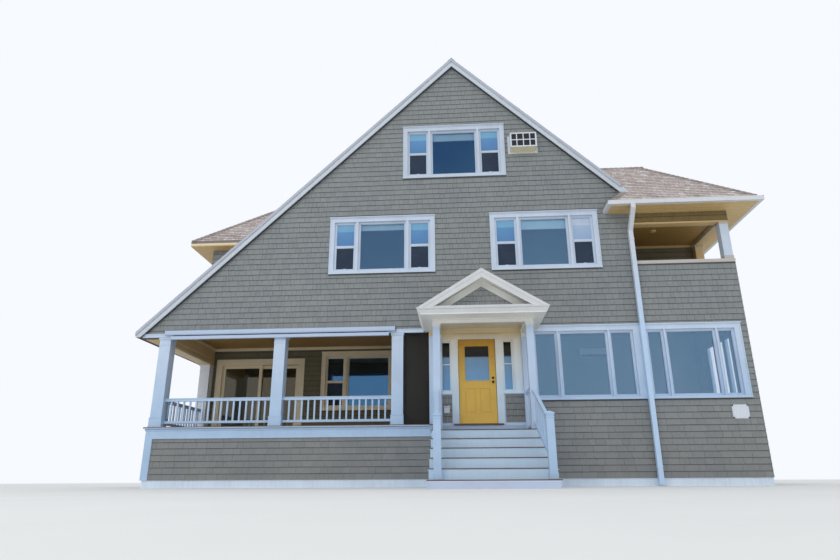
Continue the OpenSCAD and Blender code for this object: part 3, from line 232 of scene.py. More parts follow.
def startFinish(name):
    finish = bpy.data.materials.new(name)
    finish.use_nodes = True
    tree = finish.node_tree
    coords = addNode(tree, "ShaderNodeTexCoord")
    return finish, tree, tree.nodes["Principled BSDF"], coords.outputs["Object"]


def dress(tree, shader, **values):
    for key, value in values.items():
        feed(tree, shader.inputs[key.replace("_", " ")], value)


def stretched(tree, coords, scale):
    return addNode(tree, "ShaderNodeMapping", Vector=coords, Scale=scale).outputs["Vector"]


def noise(tree, vector, scale, detail=4.0, rough=0.55):
    node = addNode(tree, "ShaderNodeTexNoise", Vector=vector, Scale=scale, Detail=detail, Roughness=rough)
    return node.outputs["Fac"]


def ramp(tree, factor, stops):
    node = addNode(tree, "ShaderNodeValToRGB", factor)
    bar = node.color_ramp
    while len(bar.elements) < len(stops):
        bar.elements.new(0.5)
    for element, (place, color) in zip(bar.elements, stops):
        element.position, element.color = place, color
    return node.outputs["Color"]


def spread(tree, value, low, high, start=0.0, end=1.0):
    # a value between low and high, as one between start and end
    node = addNode(tree, "ShaderNodeMapRange", value, From_Min=low, From_Max=high, To_Min=start, To_Max=end)
    return node.outputs[0]


def blendColors(tree, factor, first, second, mode="MIX"):
    node = addNode(tree, "ShaderNodeMix", data_type="RGBA", blend_type=mode)
    for place, value in ((0, factor), (6, first), (7, second)):
        feed(tree, node.inputs[place], value)
    return node.outputs[2]


def washed(tree, tone, factor, stops):
    return blendColors(tree, 1.0, tone, ramp(tree, factor, stops), "MULTIPLY")


def patches(tree, coords, color, dark, scale=2.6, start=0.3):
    return ramp(tree, noise(tree, coords, scale, 5), [(start, dim(color, dark)), (0.65, color)])


def glossFrom(tree, factor, rough, under):
    return ramp(tree, factor, [(0.3, grey(rough - under)), (0.7, grey(rough + 0.1))])


def addBump(tree, shader, height, strength, distance, **normal):
    node = addNode(tree, "ShaderNodeBump", Height=height, Strength=strength, Distance=distance, **normal)
    tree.links.new(node.outputs["Normal"], shader.inputs["Normal"])
    return node.outputs["Normal"]


def mixShaders(tree, share, first, second):
    return addNode(tree, "ShaderNodeMixShader", share, first.outputs[0], second.outputs[0]).outputs[0]


def halfClear(tree, shader, share):
    # share is what the surface keeps; the rest goes straight through
    clear = addNode(tree, "ShaderNodeBsdfTransparent")
    dress(tree, tree.nodes["Material Output"], Surface=mixShaders(tree, share, clear, shader))


def riseOf(tree):
    return addNode(tree, "ShaderNodeAttribute", attribute_name="rise").outputs["Fac"]


def islandTones(tree, tones):
    island = addNode(tree, "ShaderNodeNewGeometry").outputs["Random Per Island"]
    return ramp(tree, island, [(i / (len(tones) - 1), tone) for i, tone in enumerate(tones)])


def paintFinish(name, color, rough=0.42, dirt=0.91, streak=0.965):
    # brushed paint with faint runs of rain dirt and slightly uneven gloss
    finish, tree, shader, coords = startFinish(name)
    tone = ramp(tree, noise(tree, coords, 1.7), [(0.30, dim(color, dirt)), (0.62, color)])
    runs = noise(tree, stretched(tree, coords, (9, 9, 0.5)), 3.0, 6)
    tone = washed(tree, tone, runs, [(0.35, grey(streak)), (0.6, white)])
    addBump(tree, shader, noise(tree, stretched(tree, coords, (14, 14, 90)), 2.5, 5), 0.12, 0.002)
    dress(tree, shader, Base_Color=tone, Roughness=glossFrom(tree, noise(tree, coords, 6.0), rough, 0.07))
    return finish


def paintedButtShadow(tree, tone, start, depth):
    # painted shadow: the dark line that the course above casts along the top of each exposed piece
    line = [(start, white), (min(1.0, start + 0.10), (depth, depth, depth * 1.04, 1))]
    return washed(tree, tone, riseOf(tree), line)


def shingleFinish(name, color, vary=0.055):
    # stained cedar: every shingle has its own tone, with fine upright grain
    finish, tree, shader, coords = startFinish(name)
    tone = islandTones(tree, [dim(color, 1 - vary), color, dim(color, 1 + vary * 0.8)])
    fibre = noise(tree, stretched(tree, coords, (26, 26, 2.2)), 4.0, 6, 0.6)
    tone = washed(tree, tone, fibre, [(0.30, grey(0.80)), (0.62, white)])
    weather = [(0.32, (0.90, 0.91, 0.92, 1)), (0.68, (1.0, 0.99, 0.97, 1))]
    tone = washed(tree, tone, noise(tree, coords, 0.7, 5), weather)
    addBump(tree, shader, fibre, 0.35, 0.004)
    dress(tree, shader, Base_Color=paintedButtShadow(tree, tone, 0.84, 0.42), Roughness=0.86)
    return finish


def roofFinish(name, tones):
    # mineral granules over mixed asphalt tones, one tone to a tab
    finish, tree, shader, coords = startFinish(name)
    grit = noise(tree, coords, 420.0, 3, 0.7)
    speck = [(0.34, (0.62, 0.61, 0.60, 1)), (0.52, white), (0.70, (1.25, 1.24, 1.22, 1))]
    tone = washed(tree, islandTones(tree, tones), grit, speck)
    tone = washed(tree, tone, noise(tree, coords, 1.1, 4), [(0.35, (0.88, 0.87, 0.86, 1)), (0.65, white)])
    addBump(tree, shader, grit, 0.5, 0.003)
    dress(tree, shader, Base_Color=paintedButtShadow(tree, tone, 0.70, 0.30), Roughness=0.93)
    return finish


def boardFinish(name, color, joints, scale, rough=0.5, seam=0.03):
    # oiled or varnished boards side by side, with grain along them and dark joints
    finish, tree, shader, coords = startFinish(name)
    grain = noise(tree, stretched(tree, coords, {"X": (30, 2, 30), "Y": (2, 30, 30)}[joints]), 3.0, 8, 0.6)
    tone = ramp(tree, grain, [(0.28, dim(color, 0.66)), (0.52, color), (0.78, dim(color, 1.2))])
    joint = addNode(tree, "ShaderNodeTexWave", coords, bands_direction=joints, Scale=scale, Distortion=0.0,
                    wave_profile="SAW")
    gap = ramp(tree, joint.outputs["Fac"], [(0.0, (0.25, 0.23, 0.22, 1)), (seam, white)])
    addBump(tree, shader, grain, 0.2, 0.002, Normal=addBump(tree, shader, gap, 0.7, 0.004))
    dress(tree, shader, Base_Color=blendColors(tree, 1.0, tone, gap, "MULTIPLY"), Roughness=rough)
    return finish


def insideBox(tree, coords, low, high):
    # 1 for the points inside a box of the house, 0 elsewhere
    ends = list(zip(Vector(low) + houseShift, Vector(high) + houseShift))
    middle = [(start + end) / 2 for start, end in ends]
    half = [(end - start) / 2 for start, end in ends]
    vector = coords
    for operation, values in (("SUBTRACT", [middle]), ("ABSOLUTE", []), ("DIVIDE", [half])):
        vector = addNode(tree, "ShaderNodeVectorMath", vector, *values, operation=operation).outputs[0]
    split = addNode(tree, "ShaderNodeSeparateXYZ", vector)
    far = split.outputs["X"]
    for axis in ("Y", "Z"):
        far = addNode(tree, "ShaderNodeMath", far, split.outputs[axis], operation="MAXIMUM").outputs[0]
    return addNode(tree, "ShaderNodeMath", far, 1.0, operation="LESS_THAN").outputs[0]


def glassFinish(name, low, high, seeThrough=0.72, base=(0.012, 0.018, 0.026, 1), clearBox=None):
    # half-clear panes with a painted sky reflection, whose mirror tint turns from low to high up the house
    # and leans across it
    finish, tree, shader, coords = startFinish(name)
    split = addNode(tree, "ShaderNodeSeparateXYZ", coords)
    height = spread(tree, split.outputs["Z"], 2.6, 9.2)
    cloud = noise(tree, stretched(tree, coords, (0.5, 0.5, 0.9)), 1.6, 3)
    mixed = addNode(tree, "ShaderNodeMath", cloud, 0.16, height, operation="MULTIPLY_ADD")
    lean = spread(tree, split.outputs["X"], 0.0, 2.4, 0.0, -0.24)
    leaned = addNode(tree, "ShaderNodeMath", mixed.outputs[0], lean, operation="ADD")
    smudgesAndReflection = ramp(tree, noise(tree, coords, 3.1, 4), [(0.3, base), (0.8, dim(base, 2.2))])
    dress(tree, shader, Specular_Tint=ramp(tree, leaned.outputs[0], [(0.06, low), (1.06, high)]),
          Base_Color=smudgesAndReflection, Roughness=0.03, IOR=4.0, Specular_IOR_Level=1.0)
    addBump(tree, shader, noise(tree, coords, 2.3, 2), 0.03, 0.01)
    share = 1 - seeThrough
    if clearBox:
        # the far panes of a room with glass on two sides let nearly all of the light through
        share = spread(tree, insideBox(tree, coords, *clearBox), 0.0, 1.0, share, 0.06)
    halfClear(tree, shader, share)
    return finish


def paintedSkyPaneFinish(name, low, high, shade, bend=1.6):
    # a pane with a painted sky reflection in its lower part and another tone in its upper third, which on
    # the entry panes is the painted reflection of the portico's dark ceiling
    finish, tree, shader, coords = startFinish(name)
    tone = ramp(tree, riseOf(tree), [(0.0, low), (0.66, high), (0.70, shade), (1.0, shade)])
    cloud = [(0.3, (0.9, 0.93, 0.96, 1)), (0.7, (1.1, 1.07, 1.03, 1))]
    tone = washed(tree, tone, noise(tree, coords, 1.9, 4), cloud)
    dress(tree, shader, Base_Color=tone, Roughness=0.05, IOR=bend)
    addBump(tree, shader, noise(tree, coords, 2.3, 2), 0.03, 0.01)
    return finish


def meshFinish(name, color, clear):
    # woven insect screen: fine crossed threads over see-through holes
    finish, tree, shader, coords = startFinish(name)
    weave = addNode(tree, "ShaderNodeTexChecker", coords, Scale=420.0).outputs["Fac"]
    tone = blendColors(tree, weave, dim(color, 0.6), dim(color, 1.5))
    tone = washed(tree, tone, noise(tree, coords, 2.4, 5), [(0.35, grey(0.8)), (0.7, (1.2, 1.18, 1.15, 1))])
    dress(tree, shader, Base_Color=tone, Roughness=0.7)
    addBump(tree, shader, weave, 0.3, 0.001)
    halfClear(tree, shader, 1 - clear)
    return finish


def metalFinish(name, color, rough=0.35, metallic=0.0):
    finish, tree, shader, coords = startFinish(name)
    scuff = noise(tree, stretched(tree, coords, (30, 30, 5)), 3.0, 6)
    dress(tree, shader, Base_Color=ramp(tree, scuff, [(0.3, dim(color, 0.88)), (0.65, color)]),
          Roughness=glossFrom(tree, noise(tree, coords, 14.0), rough, 0.06), Metallic=metallic)
    addBump(tree, shader, noise(tree, coords, 90.0, 3), 0.08, 0.001)
    return finish


def facing(tree, direction, sharp=0.5):
    # 1 where a surface faces the given way, 0 elsewhere
    normal = addNode(tree, "ShaderNodeNewGeometry").outputs["True Normal"]
    dot = addNode(tree, "ShaderNodeVectorMath", normal, direction, operation="DOT_PRODUCT").outputs["Value"]
    return addNode(tree, "ShaderNodeMath", dot, sharp, operation="GREATER_THAN").outputs[0]


def coatOf(finish):
    # the tree of a finish, its colour input, the colour so far and the coordinates
    tree = finish.node_tree
    plug = tree.nodes["Principled BSDF"].inputs["Base Color"]
    coords = [node for node in tree.nodes if node.type == "TEX_COORD"][0].outputs["Object"]
    return tree, plug, plug.links[0].from_socket, coords


def linedFinish(name, color, inside):
    # stained boards outside and painted plaster on the side that faces the rooms
    finish = shingleFinish(name, color)
    tree, plug, outer, coords = coatOf(finish)
    plaster = patches(tree, coords, colors["plaster"], 0.93, 2.2, 0.35)
    tree.links.new(blendColors(tree, facing(tree, inside), outer, plaster), plug)
    return finish


def edgedRoofFinish(name, edge, under):
    # asphalt on the slopes, painted eave faces and boards underneath in the under tone: real soffit boards
    # on the hipped roofs, painted shade on the main roof
    finish = roofFinish(name, [dim(colors["roof"], 0.3), dim(colors["roof"], 0.36)])
    tree, plug, top, coords = coatOf(finish)
    runs = noise(tree, stretched(tree, coords, (9, 9, 0.5)), 3.0, 6)
    paint = ramp(tree, runs, [(0.35, dim(edge, 0.92)), (0.6, edge)])
    grain = noise(tree, stretched(tree, coords, (2, 30, 30)), 3.0, 8)
    boards = ramp(tree, grain, [(0.3, dim(under, 0.7)), (0.7, under)])
    sides = blendColors(tree, facing(tree, (0, 0, -1), 0.2), paint, boards)
    tree.links.new(blendColors(tree, facing(tree, (0, 0, 1), 0.2), sides, top), plug)
    return finish


def toneByFacing(finish, direction, color):
    # another tone on the faces that look one way: real two-tone paint on deck and tread fronts, painted
    # bounce light on undersides, and white on the outer faces of the porch beams
    tree, plug, first, coords = coatOf(finish)
    coat = patches(tree, coords, color, 0.9)
    tree.links.new(blendColors(tree, facing(tree, direction, 0.3), first, coat), plug)
    return finish


def toneInsideBox(finish, *coats):
    # another colour on what lies inside a box of the house: real paint in some boxes, painted light or
    # shade in others
    for zone, color in coats:
        tree, plug, first, coords = coatOf(finish)
        coat = patches(tree, coords, color, 0.92)
        tree.links.new(blendColors(tree, insideBox(tree, coords, *zones[zone]), first, coat), plug)
    return finish


def heightTones(finish, stops):
    # a tone for each height in metres, over the wear of the finish itself
    tree, plug, wear, coords = coatOf(finish)
    low, high = stops[0][0], stops[-1][0]
    height = spread(tree, addNode(tree, "ShaderNodeSeparateXYZ", coords).outputs["Z"], low, high)
    tone = ramp(tree, height, [((z - low) / (high - low), color) for z, color in stops])
    tree.links.new(blendColors(tree, 1.0, tone, wear, "MULTIPLY"), plug)
    return finish


def tonedPaint(name, stops):
    return heightTones(paintFinish(name, white), stops)


# Colours that stand in for light: the bluish whites for trim and risers are painted shade lit by the sky,
# the porch cream is painted warm bounce light, the porch shingle tone is a painted shaded copy of the
# shingle and the pediment tone a painted lighter copy of it
colors = {
    "shingle": srgb(147, 152, 153), "shadedShingle": srgb(122, 116, 94), "pediment": srgb(170, 174, 176),
    "trimLow": srgb(180, 207, 236), "trimMiddle": srgb(209, 224, 243), "trimHigh": srgb(200, 212, 227),
    "porchBounceCream": srgb(242, 226, 192), "riser": srgb(203, 230, 253), "soffit": srgb(219, 188, 130),
    "ceiling": srgb(176, 138, 76), "deck": srgb(104, 76, 64), "door": srgb(238, 194, 84),
    "base": srgb(225, 238, 252), "plaster": srgb(168, 173, 178), "floorWood": srgb(150, 112, 74),
    "roof": srgb(192, 180, 176), "rake": srgb(208, 216, 225), "tan": srgb(216, 186, 132),
}
roofTones = [srgb(190, 178, 173), srgb(222, 212, 209), srgb(204, 190, 185), srgb(236, 228, 226)]
# Tones by height in metres
# painted shade: the trim white turns bluer lower down, for shade lit by the sky
trimTones = [(1.5, colors["trimLow"]), (3.9, colors["trimMiddle"]), (8.5, colors["trimHigh"])]
# painted light and shade on the portico: bluish columns for shade lit by the sky, a brighter beam to offset
# the cornice's shade, a greyer cornice front
porticoTones = [(3.50, srgb(194, 214, 240)), (3.60, srgb(246, 248, 246)), (3.715, srgb(252, 252, 248)),
                (3.745, srgb(210, 213, 215)), (3.88, srgb(219, 222, 225))]
# painted light and shade under the portico: bluish low down for shade lit by the sky, cream at the top for
# warm bounce light, all kept bright to offset the portico's shade
entryTones = [(1.4, srgb(212, 234, 255)), (2.2, srgb(219, 239, 255)), (3.0, srgb(240, 245, 245)),
              (3.45, srgb(248, 241, 226)), (3.62, srgb(238, 217, 172))]
# the white metal turns from a bluer white lower down to a greyer white higher up
metalTones = [(3.6, srgb(202, 228, 255)), (6.6, srgb(222, 225, 230))]
# painted shade: the shingles turn darker towards the ground
groundShadeTones = [(0.2, (0.94, 0.89, 0.87, 1)), (2.4, white)]
# painted shade: the door turns darker and more orange towards its top, under the portico
doorShadeTones = [(2.6, white), (3.25, (0.86, 0.76, 0.5, 1)), (3.48, (0.76, 0.6, 0.2, 1))]
# Boxes of the house that get a colour of their own: real paint in some, painted light or shade in others,
# as the finishes below say
zones = {
    "porch": ((-7.42, 2.50, 1.44), (-0.74, 2.95, 4.02)),
    "rearPost": ((-7.76, 2.55, 1.44), (-7.425, 2.92, 3.50)),
    "balconyPost": ((6.70, 1.50, 5.48), (7.04, 2.00, 6.60)),
    "cap": ((4.50, -0.20, 5.30), (7.30, 2.10, 5.475)),
    "rakeCrown": ((-9.0, -0.16, 3.0), (9.0, -0.1205, 12.0)),
    "sunroomEnd": ((6.85, 0.4, 2.0), (7.20, 3.1, 3.8)),
    "lowestRiser": ((-0.80, -3.05, -0.10), (2.00, -2.90, 0.13)),
    "lowestTread": ((-0.80, -3.05, 0.142), (2.00, -2.98, 0.20)),
    "dormerEaveTop": ((-8.0, 1.2, 6.888), (-5.0, 5.9, 6.99)),
}
paleDeck, wallBoards = dim(colors["deck"], 1.25), dim(colors["shingle"], 0.3)
frontward, underside = (0, -1, 0), (0, 0, -1)
finishes = {
    "base": paintFinish("masonryPaint", colors["base"], 0.75, 0.9, 0.94),
    "shingle": heightTones(shingleFinish("cedarShingle", colors["shingle"]), groundShadeTones),
    # painted shade: a darker olive copy of the shingle for the beam face under the eave
    "shadedEaveShingle": shingleFinish("shadedEaveShingle", srgb(138, 121, 80)),
    # painted shade: a darker, warmer copy of the shingle for the walls deep in the porch and the balcony
    "shadedShingle": shingleFinish("shadedShingle", colors["shadedShingle"]),
    # painted light: a lighter copy of the shingle to offset the shade in the pediment's recess
    "litPedimentShingle": shingleFinish("litPedimentShingle", colors["pediment"]),
    # painted shade and light: trim tones by height, and cream for warm bounce light inside the porch
    "trim": toneInsideBox(tonedPaint("trimPaint", trimTones), ("porch", colors["porchBounceCream"]),
                          ("rearPost", srgb(238, 243, 252))),
    # painted shade and light: trim tones by height, and warm tan shade on the balcony's rear post
    "balconyPaint": toneInsideBox(tonedPaint("balconyPaint", trimTones), ("balconyPost", colors["tan"]),
                                  ("cap", srgb(198, 194, 190))),
    # painted warm bounce light: the porch beams are tan, with white only on the faces that look out to the
    # left
    "beamBouncePaint": toneByFacing(paintFinish("beamBouncePaint", srgb(222, 196, 144)), (-1, 0, 0), colors["trimMiddle"]),
    "capPaint": paintFinish("capPaint", srgb(196, 190, 184)),
    # painted warm bounce light: the portico's undersides are cream
    "porticoPaint": toneByFacing(tonedPaint("porticoPaint", porticoTones), underside, srgb(228, 214, 186)),
    # painted light: the undersides of the portico's roof mouldings are near white, to offset their shade
    "porticoRoofPaint": toneByFacing(tonedPaint("porticoRoofPaint", porticoTones), underside,
                                srgb(255, 252, 242)),
    "tympanum": paintFinish("tympanumPaint", srgb(252, 252, 246)),
    # painted light and shade under the portico, by height
    "entryPaint": tonedPaint("entryPaint", entryTones),
    "rake": toneInsideBox(paintFinish("rakePaint", colors["rake"]), ("rakeCrown", srgb(184, 190, 203))),
    # painted warm bounce light: cream for the patio door and the porch's mouldings
    "porchBounceCream": paintFinish("porchBounceCream", colors["porchBounceCream"]),
    # painted shade: the bluish riser white stands in for shade lit by the sky, and the lowest riser is
    # greyer where the grass shades it
    "riser": toneInsideBox(paintFinish("riserPaint", colors["riser"], 0.38, 0.94),
                           ("lowestRiser", srgb(196, 208, 232))),
    "deck": toneByFacing(boardFinish("deckBoard", colors["deck"], "X", 1.1, 0.45), frontward, colors["trimLow"]),
    "tread": toneInsideBox(toneByFacing(boardFinish("treadBoard", colors["deck"], "Y", 1.1, 0.45), frontward,
                                   colors["riser"]), ("lowestTread", paleDeck)),
    "nosing": boardFinish("nosingBoard", paleDeck, "Y", 1.1, 0.45),
    "soffit": boardFinish("soffitBoard", colors["soffit"], "Y", 1.75, seam=0.04),
    "ceiling": boardFinish("ceilingBoard", colors["ceiling"], "Y", 1.9, seam=0.05),
    "plaster": paintFinish("roomPlaster", colors["plaster"], 0.8),
    "roof": roofFinish("asphaltTab", roofTones),
    # painted shadow: the ridge and hip caps are a darker copy of the roof tones
    "shadedRoofCap": roofFinish("shadedAsphaltCap", [dim(tone, 0.56) for tone in roofTones]),
    "metal": heightTones(metalFinish("whiteMetal", white, 0.38), metalTones),
    "awningMetal": metalFinish("awningMetal", srgb(192, 209, 234), 0.38),
    "plate": metalFinish("plateMetal", srgb(226, 233, 242), 0.45),
    # painted warm bounce light: the cooler's underside is cream
    "coolerMetal": toneByFacing(metalFinish("coolerMetal", srgb(220, 226, 236), 0.38), underside,
                           srgb(236, 226, 190)),
    "screen": meshFinish("insectScreen", srgb(38, 35, 32), 0.12),
    # painted reflection: the sky's tint in the window panes, light blue low on the house and deeper blue
    # higher up
    "glass": glassFinish("windowPane", (0.37, 0.67, 1.0, 1), (0.07, 0.22, 0.50, 1), 0.75,
                         clearBox=zones["sunroomEnd"]),
    # painted reflection: a blue sky tint over a dark brownish base that stands in for the dark porch
    # mirrored in the panes
    "porchGlass": glassFinish("porchPane", (0.09, 0.26, 0.50, 1), (0.09, 0.26, 0.50, 1), 0.45,
                              (0.036, 0.028, 0.014, 1)),
    # painted reflection: a dark warm tint that stands in for the porch mirrored in the patio door's panes
    "patioGlass": glassFinish("patioPane", (0.16, 0.14, 0.10, 1), (0.16, 0.14, 0.10, 1), 0.45,
                              (0.030, 0.024, 0.012, 1)),
    # painted reflections: sky tones on the upper window panes, paler on one light of the upper right
    # window, and on the entry glass the sky below with the portico's dark ceiling above
    "palePaintedSkyPane": paintedSkyPaneFinish("palePaintedSkyPane", srgb(146, 176, 212), srgb(164, 188, 216),
                                 srgb(190, 204, 224)),
    "paintedSkyPane": paintedSkyPaneFinish("paintedSkyPane", srgb(72, 126, 180), srgb(84, 142, 192), srgb(112, 170, 206)),
    "entryReflectionPane": paintedSkyPaneFinish("entryReflectionPane", srgb(126, 176, 222), srgb(134, 170, 202),
                               srgb(34, 29, 18), 1.3),
    "sashMesh": meshFinish("sashMesh", srgb(40, 56, 78), 0.15),
    "tan": paintFinish("tanPaint", colors["tan"], 0.5),
    "door": heightTones(paintFinish("doorPaint", colors["door"], 0.32, 0.9, 0.96), doorShadeTones),
    # painted shadow: dark strips under the window casings and the balcony cap
    "shadowStrip": paintFinish("shadowStripPaint", srgb(84, 80, 78), 0.6),
    "unitShell": paintFinish("unitShell", srgb(252, 253, 255), 0.4),
    "iron": metalFinish("blackIron", srgb(26, 24, 23), 0.4, 0.6),
    "shade": paintFinish("shadeCloth", srgb(208, 246, 255), 0.8),
    "dark": metalFinish("coilMetal", srgb(52, 56, 62), 0.4, 0.5),
    "wallFront": linedFinish("frontWallBoards", wallBoards, (0, 1, 0)),
    "wallRear": linedFinish("rearWallBoards", wallBoards, frontward),
    "wallLeft": linedFinish("leftWallBoards", wallBoards, (1, 0, 0)),
    "wallRight": linedFinish("rightWallBoards", wallBoards, (-1, 0, 0)),
    "storey": linedFinish("storeyBoards", colors["floorWood"], underside),
    # painted shade: the underside of the main roof along its rakes is dark grey
    "mainSlab": edgedRoofFinish("mainRoofSlab", colors["rake"], srgb(78, 80, 84)),
    "hipSlab": toneInsideBox(edgedRoofFinish("hipRoofSlab", srgb(240, 228, 196), colors["soffit"]),
                             ("dormerEaveTop", dim(colors["roof"], 0.5))),
}
nodesOf = {
    "base": "foundation", "shingle": "front_skirt cheek_walls", "deck": "porch_deck", "storey": "floors",
    "trim": "porch_rim porch_posts porch_rails front_windows side_windows rear_windows stair_rails",
    "wallFront": "front_gable_wall sunroom_wall porch_back_wall pediment_panel", "wallLeft": "left_wall",
    "wallRight": "right_wall", "wallRear": "rear_wall", "plaster": "inner_walls", "ceiling": "ceilings",
    "entryPaint": "entry_wall door_frame", "beamBouncePaint": "beams", "metal": "awning rain_gutter",
    "screen": "screen_panel", "balconyPaint": "balcony_frame", "mainSlab": "main_roof_left main_roof_right",
    "shadedRoofCap": "ridge_cap", "hipSlab": "hip_roofs", "rake": "rake_boards", "soffit": "soffits",
    "glass": "window_glass door_glass", "patioGlass": "slider_glass", "door": "entry_door",
    "iron": "door_hardware", "porchBounceCream": "patio_frame patio_slider", "tread": "stair_treads",
    "riser": "stair_carriage", "porticoPaint": "portico_frame", "porticoRoofPaint": "portico_roof",
    "coolerMetal": "air_conditioner", "plate": "wall_plates",
}
for finishName, nodeNames in nodesOf.items():
    for nodeName in nodeNames.split():
        slots = nodes[nodeName].data.materials
        if not slots:
            slots.append(finishes[finishName])
        for i in range(len(slots)):
            slots[i] = finishes[finishName]
print("finishes done:", len(finishes))


# Shingles and roof tabs: tapered pieces in courses, cut to the outline and round the openings

shingleLook = {"course": 0.148, "narrow": 0.07, "wide": 0.25, "gap": 0.005, "butt": 0.018, "tip": 0.005,
               "droop": 0.004, "lift": 0.0015, "smallest": 0.006}
lowerLook = dict(shingleLook, narrow=0.14, wide=0.42, gap=0.004)  # the ground floor has wider pieces
pedimentLook = dict(shingleLook, course=0.13, narrow=0.07, wide=0.15, butt=0.012)
tabLook = dict(shingleLook, course=0.143, narrow=0.08, wide=0.19, gap=0.010, butt=0.009, tip=0.003,
               droop=0.003)


def clipCell(cell, region):
    points = cell
    for (ax, ay), (bx, by) in zip(region, region[1:] + region[:1]):
        kept = []
        for p, q in zip(points, points[1:] + points[:1]):
            insideP = (bx - ax) * (p[1] - ay) - (by - ay) * (p[0] - ax)
            insideQ = (bx - ax) * (q[1] - ay) - (by - ay) * (q[0] - ax)
            if insideP >= 0:
                kept.append(p)
            if (insideP > 0 > insideQ) or (insideP < 0 < insideQ):
                share = insideP / (insideP - insideQ)
                kept.append((p[0] + (q[0] - p[0]) * share, p[1] + (q[1] - p[1]) * share))
        points = kept
        if len(points) < 3:
            return []
    area = sum(p[0] * q[1] - q[0] * p[1] for p, q in zip(points, points[1:] + points[:1]))
    return points if abs(area) > 4e-4 else []


def withoutHoles(cell, holes, smallest):
    parts = [cell]
    for h0, h1, w0, w1 in holes:
        left = []
        for a0, a1, b0, b1 in parts:
            if a1 <= h0 or a0 >= h1 or b1 <= w0 or b0 >= w1:
                left.append((a0, a1, b0, b1))
                continue
            m0, m1 = max(a0, h0), min(a1, h1)
            left += [(a0, h0, b0, b1), (h1, a1, b0, b1), (m0, m1, b0, w0), (m0, m1, w1, b1)]
        parts = [p for p in left if p[1] - p[0] > smallest and p[3] - p[2] > smallest]
    return parts


def layCourses(shape, face, regions, holes, seed, look=shingleLook, foot=foot):
    course, gap, butt, tip = look["course"], look["gap"], look["butt"], look["tip"]
    across, upward = zip(*[point for region in regions for point in region])
    row = math.floor((min(upward) - foot) / course)
    while foot + row * course < max(upward):
        v0 = foot + row * course
        dice = random.Random(seed * 1000 + row)
        u = min(across) - dice.uniform(0, look["wide"])
        while u < max(across):
            width = dice.uniform(look["narrow"], look["wide"])
            droop = dice.uniform(0, look["droop"])
            lift = dice.uniform(-look["lift"], look["lift"])
            cell = (u + gap / 2, u + width - gap / 2, v0 - droop, v0 + course)
            for part in withoutHoles(cell, holes, look["smallest"]):
                for region in regions:
                    points = clipCell(oblong(*part), region)
                    if points:
                        rise = [(v - v0) / course for u1, v in points]
                        thick = [butt + (tip - butt) * share + lift for share in rise]
                        addPrism(shape, [face(u1, -0.002, v) for u1, v in points],
                                 [face(u1, out, v) for (u1, v), out in zip(points, thick)])
                        shape.setdefault("rise", []).extend(rise * 2)
            u += width
        row += 1


def makeCourses(name, finish, *layers, slotName="grey_shingles"):
    # each layer: face, regions, holes and seed, then the look and the lowest course where they differ
    shape = newShape()
    for layer in layers:
        layCourses(shape, *layer)
    makePiece(name, shape, finish, slotName)


# A window unit: where its glass starts, side and centre widths, height, posts and the casing round it
def unit(u, v, side=0.49, centre=1.20, height=1.30, post=0.155, left=0.17, right=0.17, low=0.14, hung=True):
    width = centre + (2 * side + 2 * post if side else 0)
    return {"u": u, "v": v, "side": side, "centre": centre, "height": height, "post": post, "width": width,
            "left": left, "right": right, "low": low, "top": 0.17, "hung": hung}


def casingHole(w):
    return (w["u"] - w["left"], w["u"] + w["width"] + w["right"],
            w["v"] - w["low"], w["v"] + w["height"] + w["top"])


upstairs, groundGlass = 5.45, 2.08
gableUnit, upperLeft, upperRight = unit(-1.24, 8.1902), unit(-3.21, upstairs), unit(1.08, upstairs)
sunLeft = unit(1.91, groundGlass, 0.49, 1.12, 1.54, 0.125, 0.12, 0.205, 0.11, False)
sunRight = unit(4.67, groundGlass, 0.33, 1.12, 1.54, 0.125, 0.205, 0.20, 0.11, False)
porchUnit = unit(-3.94, 2.24, height=1.42)
rearUnits = [gableUnit] + [unit(u, v) for v in (upstairs, 2.30) for u in (0.72, -3.57)]
rightUnits = [unit(0.72, groundGlass, 0.43, 0.43, 1.54, 0.155, 0.13, 0.13, 0.11, False),
              unit(4.62, groundGlass, 0, 0.80, 1.54), unit(7.70, groundGlass, 0, 0.80, 1.54)]
leftUnits = [unit(u, groundGlass, 0, 0.80) for u in (-5.42, -8.50)]
dormerUnits = [unit(-3.92, 5.50, 0, 0.80, 1.05)]
openings = {  # left, right, low and high of what the shingles go round
    "cooler": (1.51, 2.31, 8.7035, 9.2335), "plaque": (6.38, 6.76, 1.49, 1.81),
    "frieze": (-8.3, -0.90, 3.6, 3.79), "sunroomHead": (1.79, 4.7, 3.6, 3.79),
    "letterBox": (-0.393, -0.253, 1.69, 1.85), "patioDoor": (-7.33, -4.63, 1.40, 3.66),
}
gableTop, dormerLow, eaveLine, outer = (0, 11.625), 4.785, 4.347, 0.016

makeCourses("gableShingles", "shingle", (
    frontFace, [[(-8.205, head), (balconyLeft, head), (balconyLeft, 7.185), gableTop]],
    [casingHole(w) for w in (gableUnit, upperLeft, upperRight)]
    + [openings[key] for key in ("cooler", "frieze", "sunroomHead")], 1))
makeCourses("sunroomShingles", "shingle", (
    frontFace, [oblong(1.832, corner, foot, head)],
    [casingHole(sunLeft), casingHole(sunRight), openings["plaque"]], 2, lowerLook),
    (frontFace, [oblong(balconyLeft, corner, head, parapet)], [], 19))
makeCourses("balconyBeamShingles", "shadedEaveShingle",
            (frontFace, [oblong(balconyLeft, corner, beamLow, wallTop)], [], 3))
makeCourses("skirtShingles", "shingle", (frontFace, [oblong(-7.575, -0.642, foot, 1.15)], [], 4, lowerLook),
            (leftFace, [oblong(-2.9, -0.145, foot, 1.15)], [], 5, lowerLook))
makeCourses("entryShingles", "shingle", (
    frontFace, [oblong(-0.452, -0.19, 1.47, 2.12), oblong(1.10, 1.722, 1.47, 2.12)],
    [openings["letterBox"]], 6, shingleLook, 1.47))
